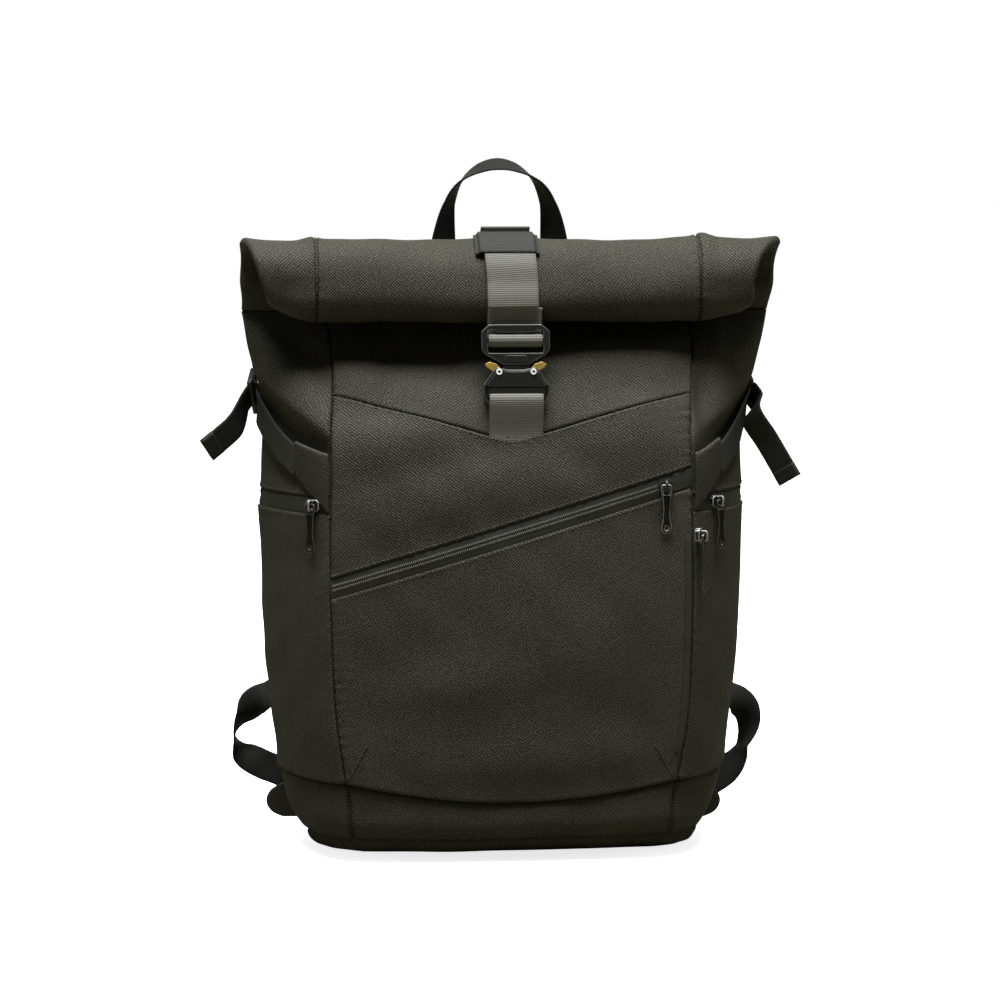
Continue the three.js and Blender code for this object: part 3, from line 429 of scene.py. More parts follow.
# %% [markdown]
# ## The body's surface
# All sewn panels lie on one surface: a stack of level sections, wider in the middle and drawn in to a thin
# neck at the top. The CAD uses the same table, so a panel made here covers its CAD wall. A place on it is
# `turn`, which runs 0 to 1 along the front, 1 to 2 the right side, 2 to 3 the back and 3 to 4 the left side,
# and a height. NumPy works out thousands of places at once. Lengths are in millimetres up to the mesh.

# %% Body surface
FRONT_CROWN = 6.0
SIDE_SPLIT = 0.6
SIDE_FULLNESS = 0.6
COLLAR_SEAM = 386.0
TOP_SHIFT = {"from": 305.0, "to": 350.0, "by": 3.6}  # the top stands a little to the right
FRONT_Y, BACK_Y = 4, 6  # columns of the table
SECTIONS = np.array([  # height, half width, its y, front half, front y, back half, back y
    [0, 126, 4, 94, -28, 112, 56],
    [3, 134, 4, 103, -44, 119, 63],
    [9, 141, 5, 109, -58, 125, 67],
    [26, 153, 6, 113, -73, 134, 70],
    [58, 161, 8, 117, -80, 142, 71],
    [105, 166.5, 10, 124, -83, 147, 71],
    [175, 172, 10, 127, -84, 150, 71],
    [255, 174, 10, 127, -80, 150, 70],
    [300, 173, 8, 126, -72, 148, 68],
    [345, 176, 8, 127, -47, 146, 58],
    [COLLAR_SEAM, 190, 16, 130, 1, 142, 31],
])


def smooth_rows(rows, place):
    """Every column of a table at places along its first column, as a smooth curve through its rows."""
    key = rows[:, 0]
    gap = np.diff(key)
    slope = np.empty_like(rows)
    slope[1:-1] = (rows[2:] - rows[:-2]) / (key[2:] - key[:-2])[:, None]
    slope[0] = (rows[1] - rows[0]) / gap[0]
    slope[-1] = (rows[-1] - rows[-2]) / gap[-1]
    i = np.clip(np.searchsorted(key, place) - 1, 0, len(key) - 2)
    s = np.clip((place - key[i]) / gap[i], 0, 1)[..., None]
    rise, start, end = rows[i + 1] - rows[i], slope[i] * gap[i][..., None], slope[i + 1] * gap[i][..., None]
    return rows[i] + s * (start + s * (3 * rise - 2 * start - end + s * (start + end - 2 * rise)))


def mix(first, second, share):
    return first + (second - first) * share


def ramp(value, low, high):
    return np.clip((value - low) / (high - low), 0, 1)


def eased(share):
    return share * share * (3 - 2 * share)


def bump(distance, half):
    return np.exp(-((distance / half) ** 2))


def unit(vectors):
    return vectors / np.maximum(np.linalg.norm(vectors, axis=-1, keepdims=True), 1e-9)


def quarter(corner, widest, share):
    turn = np.clip(share, 0, 1) * math.pi / 2
    rounded = np.stack([np.sin(turn), 1 - np.cos(turn)], -1)
    return mix(corner, widest, mix(share[..., None], rounded, SIDE_FULLNESS))


def ring(section, turn):
    """x and y of places around a level section."""
    turn = np.mod(turn, 4.0)
    half, side_y, front_half, front_y, back_half, back_y = np.moveaxis(section, -1, 0)[-6:]
    across = np.where(turn <= 1, 2 * turn - 1, 5 - 2 * turn)
    front = np.stack([across * front_half, front_y + FRONT_CROWN * across**2], -1)
    back = np.stack([across * back_half, back_y + 0 * across], -1)
    share = np.where(turn < 2, turn - 1, 4 - turn)
    front_corner = np.stack([front_half, front_y + FRONT_CROWN], -1)
    back_corner, widest = np.stack([back_half, back_y], -1), np.stack([half, side_y], -1)
    ahead = quarter(front_corner, widest, share / SIDE_SPLIT)
    behind = quarter(back_corner, widest, (1 - share) / (1 - SIDE_SPLIT))
    side = np.where((share < SIDE_SPLIT)[..., None], ahead, behind)
    side[..., 0] *= np.where(turn < 2, 1, -1)
    on_back = ((turn >= 2) & (turn <= 3))[..., None]
    return np.where((turn <= 1)[..., None], front, np.where(on_back, back, side))


def top_shift(z):
    return TOP_SHIFT["by"] * ramp(z, TOP_SHIFT["from"], TOP_SHIFT["to"])


def body_place(turn, z):
    flat = ring(smooth_rows(SECTIONS, z), turn)
    return np.stack([flat[..., 0] + top_shift(z), flat[..., 1], z], -1)


def body_out(turn, z, reach=0.02, rise=1.0):
    along = body_place(turn + reach, z) - body_place(turn - reach, z)
    up = body_place(turn, z + rise) - body_place(turn, z - rise)
    return unit(np.cross(along, up))


middle = body_place(np.array(0.5), np.array(200.0))
print("front middle at 200 mm:", np.round(middle, 1).tolist())

# %% [markdown]
# ## Folds
# Cloth that is full of something never stays as flat as its pattern. The side straps pull the cloth in, so a
# fat fold hangs over each of them, the yoke swells over its pointed seam, and everything ripples a little.
# Each fold is a soft ridge from a table: where it is, how long it is, how it leans and how high it stands,
# with its own width above and below, because a fold that hangs is steep on its lower side. A simulation could
# make folds too, but not these ones in these places.

# %% Folds
FRONT_HALF = 127.0  # half the front's width
SIDE_LENGTH = 165.0  # of cloth, from a front seam to a back seam
BACK_MIDDLE = 2.5  # the turn where the right and the left side's folds part
FRONT_FOLDS = (  # x, z, half length, half width above, half width below, lean in degrees, height
    (-80, 334, 46, 16, 9, -12, 3.0),
    (72, 338, 50, 14, 12, 12, 3.2),
    (-112, 338, 10, 26, 20, 0, 2.0),
    (104, 350, 12, 20, 16, 0, 2.2),
    (70, 357, 46, 13, 12, 4, 7.0),
    (90, 314, 36, 12, 22, 6, 6.5),
    (-76, 300, 40, 12, 36, 0, 4.6),
    (-62, 264, 56, 12, 16, 14, 2.4),
    (-70, 354, 40, 10, 8, -6, -4.0),
    (-88, 303, 40, 13, 13, 12, 2.2),
    (-48, 283, 50, 10, 10, 17, -2.0),
    (44, 286, 46, 11, 11, -14, -1.2),
    (66, 268, 44, 12, 12, 12, 1.4),
    (-70, 262, 40, 9, 9, 20, -0.7),
    (-64, 244, 52, 10, 10, 20, 0.9),
    (20, 246, 50, 8, 8, 16, -1.2),
    (0, 140, 100, 80, 80, 0, 3.0),
    (-44, 126, 44, 12, 12, 8, 1.8),
    (-70, 150, 40, 14, 14, 24, -1.4),
    (-92, 112, 22, 14, 14, 30, -1.4),
    (58, 150, 60, 18, 18, -35, 1.0),
    (62, 108, 40, 14, 14, -20, -1.2),
    (20, 72, 70, 12, 12, 3, 2.0),
    (-92, 150, 14, 70, 70, 0, -1.2),
    (100, 140, 12, 70, 70, 0, -1.4),
)
SIDE_FOLDS = {
    -1: (  # distance behind the front seam, z, half length, widths above and below, lean, height
        (40, 322, 48, 17, 5.5, 24, 8.5),
        (46, 300, 44, 7, 12, 22, -4.0),
        (22, 356, 26, 9, 9, 34, -3.6),
        (80, 364, 40, 12, 12, 8, 2.4),
        (98, 336, 16, 20, 22, 0, 3.0),
        (30, 272, 30, 9, 9, 8, -1.4),
        (60, 238, 60, 12, 12, 4, 1.2),
        (66, 150, 46, 60, 60, 0, 2.4),
        (26, 80, 30, 20, 20, 16, 1.4),
    ),
    1: (
        (46, 322, 34, 16, 6, 24, 5.0),
        (54, 300, 44, 8, 12, 24, -4.0),
        (13, 328, 9, 26, 24, 6, -6.5),
        (72, 364, 40, 12, 12, 8, 2.6),
        (98, 336, 16, 20, 22, 0, 3.0),
        (18, 362, 16, 14, 14, 0, 8.0),
        (10, 300, 7, 20, 20, 6, 2.4),
        (30, 270, 30, 9, 9, 8, -1.4),
        (60, 238, 60, 12, 12, 4, 1.2),
        (66, 150, 46, 60, 60, 0, 2.4),
        (26, 80, 30, 20, 20, 16, 1.4),
    ),
}
RIPPLE = {"waves": 11, "shortest": 30.0, "longest": 110.0, "height": 0.24}
RIPPLE_SEED = {"front": 11, "right": 23, "left": 37}
CALM = {"x": 3.0, "half_x": 26.0, "z": 330.0, "half_z": 34.0, "by": 0.8}  # no folds show under the buckle


def ridges(rows, a, b):
    total = np.zeros_like(a)
    for mid_a, mid_b, long, above, below, lean, height in rows:
        c, s = math.cos(math.radians(lean)), math.sin(math.radians(lean))
        along, across = (a - mid_a) * c + (b - mid_b) * s, (b - mid_b) * c - (a - mid_a) * s
        wide = np.where(across > 0, above, below)
        total += height * np.exp(-0.5 * ((along / long) ** 2 + (across / wide) ** 2))
    return total


def ripple(a, b, seed, height=RIPPLE["height"]):
    draw = np.random.default_rng(seed)
    total = np.zeros_like(a)
    for _ in range(RIPPLE["waves"]):
        length = draw.uniform(RIPPLE["shortest"], RIPPLE["longest"])
        turn, phase = draw.uniform(0, 2 * math.pi, 2)
        total += np.sin((a * math.cos(turn) + b * math.sin(turn)) * 2 * math.pi / length + phase)
    return height * total * math.sqrt(2 / RIPPLE["waves"])


def folds(turn, z):
    """How far the cloth stands out of the body's surface, front and sides."""
    x, around = (2 * turn - 1) * FRONT_HALF, turn * SIDE_LENGTH
    away = ((x - CALM["x"]) / CALM["half_x"]) ** 2 + ((z - CALM["z"]) / CALM["half_z"]) ** 2
    front = ridges(FRONT_FOLDS, x, z) + ripple(x, z, RIPPLE_SEED["front"])
    front = front * (1 - CALM["by"] * np.exp(-away))
    right = ridges(SIDE_FOLDS[1], (turn - 1) * SIDE_LENGTH, z) + ripple(around, z, RIPPLE_SEED["right"])
    left = ridges(SIDE_FOLDS[-1], (4 - turn) * SIDE_LENGTH, z) + ripple(around, z, RIPPLE_SEED["left"])
    return np.where(turn <= 1, front, np.where(turn < BACK_MIDDLE, right, left))


print("folds:", len(FRONT_FOLDS), "in front,", len(SIDE_FOLDS[-1]), "left and", len(SIDE_FOLDS[1]), "right")

# %% [markdown]
# ## Sewn panels
# A panel is cut flat and sewn to its neighbours, so its edges turn in at the seams and the thread puckers
# them. Each panel is a grid of points on the body's surface, closer together along its edges, with a second
# grid a cloth's thickness inside. A modifier could give the thickness, but two grids keep the edges exact.
# The flat map is measured along the grid, so the weave isn't stretched.

# %% Panel builder
WALL = 2.2
EDGE_STEPS = np.array([0.0, 0.25, 0.6, 1.1, 1.7, 2.5, 3.6, 5.0])
GRID_STEP = 2.6
EDGE_MOST = 0.3  # share of a low panel's height that the edge steps may take
PUCKER = {"waves": 5, "height": 0.34, "reach": 4.0, "shortest": 4.5, "longest": 9.0}
CUT_MARGIN = 1.02  # a panel's cut length is reckoned as at least this many times its cloth's area over its width


def grid_faces(rows, columns, start=0, wrap=False, flip=False):
    i, j = np.meshgrid(np.arange(rows - 1), np.arange(columns - (not wrap)), indexing="ij")
    k = (j + 1) % columns
    quads = np.stack([i * columns + j, i * columns + k, (i + 1) * columns + k, (i + 1) * columns + j], -1)
    quads = quads.reshape(-1, 4) + start
    return quads[:, ::-1] if flip else quads


def new_piece(name, points, faces, finish, cut=None):
    mesh = bpy.data.meshes.new(name)
    mesh.from_pydata((points.reshape(-1, 3) * MM).tolist(), [], [list(f) for f in faces])
    if cut is not None:
        corner = np.zeros(len(mesh.loops), np.int32)
        mesh.loops.foreach_get("vertex_index", corner)
        flat = mesh.uv_layers.new(name=FLAT)
        flat.data.foreach_set("uv", (cut.reshape(-1, 2) * MM)[corner].ravel())
    mesh.materials.append(finish)
    mesh.shade_smooth()
    return put_in_scene(name, mesh)


def sheet_piece(name, outer, inner, cut, finish, wrap=False):
    """A closed sheet of cloth between an outer and an inner grid."""
    rows, columns = outer.shape[:2]
    count = rows * columns
    faces = [grid_faces(rows, columns, 0, wrap), grid_faces(rows, columns, count, wrap, flip=True)]

    def rim(line, flip):
        line = np.append(line, line[0]) if wrap else line
        a, b = line[:-1], line[1:]
        quads = np.stack([a, a + count, b + count, b], -1)
        faces.append(quads[:, ::-1] if flip else quads)

    index = np.arange(count).reshape(rows, columns)
    rim(index[0], False)
    rim(index[-1], True)
    if not wrap:
        rim(index[:, 0], True)
        rim(index[:, -1], False)
    points = np.concatenate([outer.reshape(-1, 3), inner.reshape(-1, 3)])
    return new_piece(name, points, np.concatenate(faces), finish, np.concatenate([cut.reshape(-1, 2)] * 2))


def lengths(points, axis):
    """Distance along a grid of points from its first row or column."""
    steps = np.linalg.norm(np.diff(points, axis=axis), axis=-1)
    return np.concatenate([np.zeros_like(np.take(steps, [0], axis)), np.cumsum(steps, axis)], axis)


def flat_cut(points):
    """Where each point of a grid lies on the cut cloth."""
    across, up = lengths(points, 1), lengths(points, 0)
    across = across - across[:, across.shape[1] // 2][:, None]
    return np.stack([across, up], -1)


def cloth_area(points):
    a, b, c, d = points[:-1, :-1], points[:-1, 1:], points[1:, 1:], points[1:, :-1]
    return float(np.linalg.norm(np.cross(c - a, d - b), axis=-1).sum() / 2) * MM * MM


def spread(length, step=GRID_STEP):
    inside = length - 2 * EDGE_STEPS[-1]
    middle = np.linspace(EDGE_STEPS[-1], length - EDGE_STEPS[-1], max(int(inside / step), 2) + 1)
    return np.concatenate([EDGE_STEPS[:-1], middle, length - EDGE_STEPS[-2::-1]])


def turned_in(distance, radius):
    share = np.clip(1 - distance / radius, 0, 1)
    return radius * (1 - np.sqrt(1 - share**2))


def puckers(along, distance, seed):
    draw = np.random.default_rng(seed)
    wave = np.zeros_like(along)
    for _ in range(PUCKER["waves"]):
        length, phase = draw.uniform(PUCKER["shortest"], PUCKER["longest"]), draw.uniform(0, 2 * math.pi)
        wave += np.sin(along * 2 * math.pi / length + phase)
    return PUCKER["height"] * wave / 2 * np.exp(-distance / PUCKER["reach"])


def settle(piece, slot, *nodes, body="root"):
    """Rides on a body and hides the CAD nodes that it stands for; its slot is not used."""
    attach(piece, body)
    if nodes:
        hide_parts(*nodes)
    print("piece:", piece.name, len(piece.data.polygons), "faces")
    return piece


def panel(name, span, low, high, edges, seed, finish=None, wall=WALL, relief=folds):
    """A sewn panel between two turns and two seams.

    edges gives, for left, right, low and high: how round the edge turns in, how much it stands up and
    over how far.
    """
    ends = np.linspace(span[0], span[1], 60)
    width = float(lengths(body_place(ends, mix(low(ends), high(ends), 0.5))[None], 1)[0, -1])
    left = spread(width)
    turn = span[0] + (span[1] - span[0]) * left / width
    lows, highs = low(turn), high(turn)
    count = max(int(((highs - lows).max() - 2 * EDGE_STEPS[-1]) / GRID_STEP), 2)
    steps = np.minimum(EDGE_STEPS[:, None], (highs - lows) * EDGE_MOST)
    middle = mix(lows + steps[-1], highs - steps[-1], np.linspace(0, 1, count + 1)[:, None])
    z = np.concatenate([lows + steps[:-1], middle, highs - steps[-2::-1]])
    turn, left = np.broadcast_to(turn, z.shape), np.broadcast_to(left, z.shape)
    base, out = body_place(turn, z), body_out(turn, z)
    off = relief(turn, z)
    for i, (gap, edge) in enumerate(zip((left, width - left, z - lows, highs - z), edges)):
        if edge:
            radius, lip, reach = edge
            off = off - turned_in(gap, radius) + lip * np.exp(-gap / reach)
            off = off + puckers(z if i < 2 else left, gap, seed + i)
    outer, inner = base + out * off[..., None], base + out * (off - wall)[..., None]
    piece = sheet_piece(name, outer, inner, flat_cut(base), finish or CLOTH)
    area = cloth_area(base)
    tall = max(float((highs - lows).max()), CUT_MARGIN * area / (width * MM * MM))
    return piece


print("panel builder ready")

# %% [markdown]
# ## Front, sides and zipper tapes
# The front has a yoke with a pointed seam, an upper panel, a slanting zipper and a large pocket panel. Each
# side has an upper panel and a pocket with a level zipper. At the pointed seam the upper panel's folded edge
# lies over the yoke, so it stands up a little and catches the light. The pocket panels hang over the base.
# The zipper tapes are rounded, with the closed coil along their middle and their edges under the cloth.

# %% Front, sides and zipper tapes
BASE_SEAM = {"side": 58.0, "front_middle": 44.0}
YOKE_SEAM = {"middle": 299.0, "edge": 329.0, "round": 0.04}
FRONT_ZIP = {"left": 196.0, "right": 272.0, "half": 7.4}
SIDE_ZIP = {"middle": 254.0, "half": 6.2}
UNDERLAP = 2.5  # how far a tape reaches under the cloth on each side
TAPE_WALL, TAPE_SWELL = 3.4, 2.6
GROOVE = {"depth": 0.9, "half": 0.5}  # between the two rows of teeth
SPANS = {"front": (0.0, 1.0), "right": (1.0, 2.0), "left": (3.0, 4.0)}
UPRIGHT = (3.4, 0.6, 12.0)  # how round an edge turns in, how much it stands up, over how far
OVER_YOKE, UNDER_EDGE = (2.2, 1.1, 5.0), (2.6, 0.0, 3.0)
ZIPPED, AT_BASE, AT_COLLAR = (1.2, 0.7, 5.0), (3.0, 2.0, 9.0), (0.8, 0.0, 1.0)


def base_seam(turn):
    x = np.where(turn <= 1, 2 * turn - 1, 1.0)
    return mix(BASE_SEAM["front_middle"], BASE_SEAM["side"], x**2)


def yoke_seam(turn):
    tip = YOKE_SEAM["round"]
    rise = (np.sqrt((2 * turn - 1) ** 2 + tip**2) - tip) / (math.sqrt(1 + tip**2) - tip)
    return mix(YOKE_SEAM["middle"], YOKE_SEAM["edge"], rise)


def front_zip(turn):
    return mix(FRONT_ZIP["left"], FRONT_ZIP["right"], turn)


def level(z):
    return lambda turn: z + 0 * turn


def moved(line, by):
    return lambda turn: line(turn) + by


def tape_relief(line, half):
    """The tape's own relief: rounded, with a groove between the two rows of teeth."""

    def relief(turn, z):
        away = z - line(turn)
        swell = TAPE_SWELL * np.sqrt(np.clip(1 - (away / (half + UNDERLAP)) ** 2, 0, 1))
        return folds(turn, z) - TAPE_SWELL + swell - GROOVE["depth"] * bump(away, GROOVE["half"])

    return relief


def tape_panel(name, span, line, half, seed):
    low, high = moved(line, -half - UNDERLAP), moved(line, half + UNDERLAP)
    return panel(name, span, low, high, (0, 0, 0, 0), seed, TAPE, TAPE_WALL, tape_relief(line, half))


def sew_panel(name, span, low, high, low_edge, high_edge, seed):
    made = panel(name, span, low, high, (UPRIGHT, UPRIGHT, low_edge, high_edge), seed)
    settle(made, "body_cloth", name)


def sew_tape(name, span, line, half, seed):
    settle(tape_panel(name, span, line, half, seed), "zipper_tape", name)


span, half, top = SPANS["front"], FRONT_ZIP["half"], level(COLLAR_SEAM)
sew_panel("yoke_panel", span, yoke_seam, top, UNDER_EDGE, AT_COLLAR, seed=1)
sew_panel("front_upper_panel", span, moved(front_zip, half), yoke_seam, ZIPPED, OVER_YOKE, seed=2)
sew_panel("front_pocket_panel", span, base_seam, moved(front_zip, -half), AT_BASE, ZIPPED, seed=3)
sew_tape("front_zip_tape", span, front_zip, half, seed=4)
for side in ("right", "left"):
    span, middle, half = SPANS[side], level(SIDE_ZIP["middle"]), SIDE_ZIP["half"]
    sew_panel(f"side_upper_{side}", span, moved(middle, half), top, ZIPPED, AT_COLLAR, seed=5)
    sew_panel(f"side_pocket_{side}", span, base_seam, moved(middle, -half), AT_BASE, ZIPPED, seed=6)
    sew_tape(f"side_zip_{side}_tape", span, middle, half, seed=7)

# %% [markdown]
# ## Base
# The bottom of the bag is a shallow bowl of the same cloth. It has an upright seam at each front corner and a
# seam all round a little above the floor, under which the bottom panel bulges, and a deep shadow where the
# panels hang over its upper edge. It is one sheet, so the seams are narrow valleys pressed into it.

# %% Base
FLOOR_TOP = 3.0
BASE_ROWS, BASE_CROWD = 64, 1.15  # the rows are closer together near the floor
BASE_COLUMNS = {2.5: 40, 3: 70, 0: 110, 1: 70, 2: 40}  # from each of these turns on
BASE_SPANS = {2.5: 0.5, 2: 0.5}  # how far those that aren't a whole turn reach
BASE_SEEDS = {"ripple": 51, "pucker": 52}
BASE_RIPPLE = 0.5
FADE_IN = {"ripple": 8.0, "pucker": 6.0, "all": 3.0}  # heights over which relief starts above the floor
FRONT_FADE = 0.5  # how far round the sides the front's shape goes
BOTTOM_SEAM = {"front": 17.5, "side": 12.0, "half": 1.1, "depth": 4.0}
BULGE = {"height": 2.2, "below": 6.0, "half": 4.0}  # of the bottom panel, under that seam
CORNER_SEAM = {"half": 1.2, "depth": 4.0, "start": 3.0}
TUCK = 5.5  # how round the base turns in under the panels
SWELL = {"height": 4.5, "z": 27.0, "half": 13.0}  # of the base's front


def base_bowl():
    turn = [i + BASE_SPANS.get(i, 1) * np.arange(n) / n for i, n in BASE_COLUMNS.items()]
    turn = np.concatenate(turn)
    share = np.linspace(0, 1, BASE_ROWS) ** BASE_CROWD
    rim = base_seam(turn)
    z = share[:, None] * rim
    turn = np.broadcast_to(turn, z.shape)
    place, out = body_place(turn, z), body_out(turn, np.maximum(z, 1.0))
    corner = np.minimum(np.abs(turn), np.minimum(np.abs(turn - 1), np.abs(turn - 4))) * SIDE_LENGTH
    in_front = np.where(turn <= 1, 1.0, np.clip(1 - np.minimum(turn - 1, 4 - turn) / FRONT_FADE, 0, 1))
    seam = z - mix(BOTTOM_SEAM["side"], BOTTOM_SEAM["front"], in_front)
    around = turn * SIDE_LENGTH
    off = ripple(around, z, BASE_SEEDS["ripple"], BASE_RIPPLE) * ramp(z, 0, FADE_IN["ripple"])
    off -= turned_in(rim - z, TUCK)
    off += SWELL["height"] * in_front * bump(z - SWELL["z"], SWELL["half"])
    off -= BOTTOM_SEAM["depth"] * bump(seam, BOTTOM_SEAM["half"])
    off += BULGE["height"] * bump(seam + BULGE["below"], BULGE["half"])
    off -= CORNER_SEAM["depth"] * bump(corner, CORNER_SEAM["half"]) * ramp(seam, 0, CORNER_SEAM["start"])
    off += puckers(around, np.abs(seam), BASE_SEEDS["pucker"]) * ramp(z, 0, FADE_IN["pucker"])
    off *= ramp(z, 0, FADE_IN["all"])
    outer, inner = place + out * off[..., None], place + out * (off - WALL)[..., None]
    inner[..., 2] = mix(FLOOR_TOP, z[-1], share[:, None])
    return outer, inner


def base_piece():
    outer, inner = base_bowl()
    rows, columns = outer.shape[:2]
    count, index = rows * columns, np.arange(columns)
    after, top = np.roll(index, -1), (rows - 1) * columns
    middles = np.array([[0.0, 0.0, 0.0], [0.0, 0.0, FLOOR_TOP]])
    walls = [grid_faces(rows, columns, 0, True), grid_faces(rows, columns, count, True, flip=True)]
    walls.append(np.stack([top + index, top + after, count + top + after, count + top + index], -1))
    fans = [[2 * count, b, a] for a, b in zip(index, after)]
    fans += [[2 * count + 1, count + a, count + b] for a, b in zip(index, after)]
    points = np.concatenate([outer.reshape(-1, 3), inner.reshape(-1, 3), middles])
    closed = np.concatenate([outer, outer[:, :1]], 1)
    cut = flat_cut(closed)[:, :-1]
    cut = np.concatenate([cut.reshape(-1, 2)] * 2 + [np.zeros((2, 2))])
    faces = [list(f) for f in np.concatenate(walls)] + fans
    return new_piece("base", points, faces, CLOTH, cut), cloth_area(closed)


base, wall_area = base_piece()
settle(base, "body_cloth", "base")

# %% [markdown]
# ## Rolled collar
# The collar is a flat tube of cloth, sewn to the top of the body, pressed together and rolled forward one
# and a half turns. Its ends are soft folds, narrower at each turn, so the front layer slants in and shows the
# dark fold behind it. Each ring of the tube has two flat faces, two flanks outside the upright seams and two
# rounded ends. The rings follow the roll from the neck over the top, down the front and into the winding.
# Seams and creases are pressed in afterwards, along each point's own direction out.

# %% Rolled collar
ROLL = {"y": -26.0, "z": 408.0, "radius": 28.2, "inner_radius": 20.0, "half": 2.6, "seam": 135.0}
COLLAR_WALL = 1.9
ROLL_TURN = {"tight_from": 200.0, "tight_by": 380.0, "end": 528.0}
ROLL_WIDTH = np.array([  # angle in degrees, how far the left and the right end reach
    [0, 188, 196],
    [60, 188, 196.5],
    [90, 187, 195.5],
    [112, 184, 188.5],
    [145, 179, 179],
    [178, 174.5, 173.5],
    [205, 168, 172],
    [240, 162, 168],
    [360, 160, 165],
    [540, 156, 161],
], float)
ROLL_FOLDS = (  # x, angle in degrees, half length along x, half widths in degrees, lean, height
    (0, 211, 120, 19, 19, 0, 7.4),
    (-139, 92, 5, 60, 40, 0, 2.2),
    (140, 92, 5, 60, 40, 0, 3.0),
    (-163, 92, 14, 30, 26, 0, -1.6),
    (166, 92, 14, 30, 26, 0, -1.4),
    (-60, 96, 50, 40, 40, 0, -1.0),
    (60, 96, 50, 40, 40, 0, -0.8),
    (-75, 122, 46, 16, 16, 0, 0.9),
    (80, 126, 46, 16, 16, 0, 0.9),
    (-158, 160, 10, 30, 30, 0, 1.6),
    (160, 160, 10, 30, 30, 0, 1.6),
    (-150, 190, 14, 12, 12, 12, -1.6),
    (152, 190, 14, 12, 12, -12, -1.6),
)
PUFF = 1.1  # how much thicker the tube is at its folded ends
TAPER = {"by": 7.0, "from": 150.0, "to": 225.0}  # the lower front is thinner at the ends
NECK = {"rows": 16, "to": 0.93, "angle": 60.0}  # the rings below the roll, and the angle that they stand for
ROLL_ROWS = 118
HIDDEN = {"from": 320.0, "over": 60.0}  # the angle by which creases have faded out, inside the winding
PER_DEGREE = 0.55  # millimetres of cloth
PRESSED = {"depth": 3.2, "half": 0.9, "pucker": 2.2, "ripple": 0.55}  # the upright seams and the cloth
COLLAR_SEEDS = {"pucker": 71, "ripple": 72}
FLAT_ROW, FLAT_COLUMN = 60, 150  # of the grid, along which the flat map is measured


def roll_radius(angle):
    share = ramp(angle, ROLL_TURN["tight_from"], ROLL_TURN["tight_by"])
    return mix(ROLL["radius"], ROLL["inner_radius"], eased(share))


def tube_loop():
    """One ring of the flat tube: share of a face, share of a flank, angle on a rounded end, and turn."""
    near = np.array([0.0, 0.6, 1.2, 2.0, 3.2, 5.0, 7.5]) / ROLL["seam"]
    face = np.concatenate([-1 + near, np.linspace(-0.92, 0.92, 84), (1 - near)[::-1]])
    flank = np.concatenate([[0.012, 0.025, 0.045, 0.08, 0.12, 0.18], np.linspace(0.26, 1, 12)])
    cap = np.linspace(-90, 90, 11)[1:-1]
    flanks, caps, count = len(flank), len(cap), len(face)
    right = [  # the right end from front to back
        np.stack([np.ones(flanks), flank, np.full(flanks, -90.0), 1 + 0.5 * flank], -1),
        np.stack([np.ones(caps), np.ones(caps), cap, 1.5 + 0.2 * (cap + 90) / 180], -1),
        np.stack([np.ones(flanks), flank, np.full(flanks, 90.0), 2 - 0.3 * flank], -1)[::-1],
    ]
    right = np.concatenate(right)
    left = right[::-1] * [-1, 1, 1, -1] + [0, 0, 0, 5]
    front = np.stack([face, np.zeros(count), np.full(count, -90.0), (face + 1) / 2], -1)
    back = np.stack([face[::-1], np.zeros(count), np.full(count, 90.0), 2 + (1 - face[::-1]) / 2], -1)
    return np.concatenate([front, right, back, left])


def roll_ring(angle, loop):
    """Points of the flat tube at angles around the roll: 0 is behind it, 90 on top and 180 in front."""
    angle = angle + 0 * loop[None, :, 0]
    face, flank, cap = loop[:, 0], loop[:, 1], np.radians(loop[:, 2])
    reach = smooth_rows(ROLL_WIDTH, angle)
    width = np.where(face < 0, reach[..., 1], reach[..., 2])
    half = ROLL["half"] + PUFF * flank**2
    end = width - half
    side = ROLL["seam"] + (end - ROLL["seam"]) * flank + half * np.cos(cap) * (flank >= 1)
    x = np.where(flank > 0, np.sign(face) * side, ROLL["seam"] * face)
    low = ramp(angle, TAPER["from"], TAPER["to"])
    out = roll_radius(angle) + half * np.sin(cap) - TAPER["by"] * low * flank**1.5
    bend = np.radians(angle)
    return np.stack([x, ROLL["y"] + out * np.cos(bend), ROLL["z"] + out * np.sin(bend)], -1)


def neck_ring(share, loop):
    section = smooth_rows(SECTIONS, np.full(len(loop), COLLAR_SEAM))
    start = ring(section, loop[:, 3]) + [TOP_SHIFT["by"], 0]
    end = roll_ring(np.zeros((1, 1)), loop)[0]
    x, y = mix(start[:, 0], end[:, 0], share), mix(start[:, 1], end[:, 1], np.sin(share * math.pi / 2))
    return np.stack([x, y, mix(COLLAR_SEAM, end[:, 2], share)], -1)


def outward(grid):
    along = np.roll(grid, -1, 1) - np.roll(grid, 1, 1)
    return unit(np.cross(along, np.gradient(grid, axis=0)))


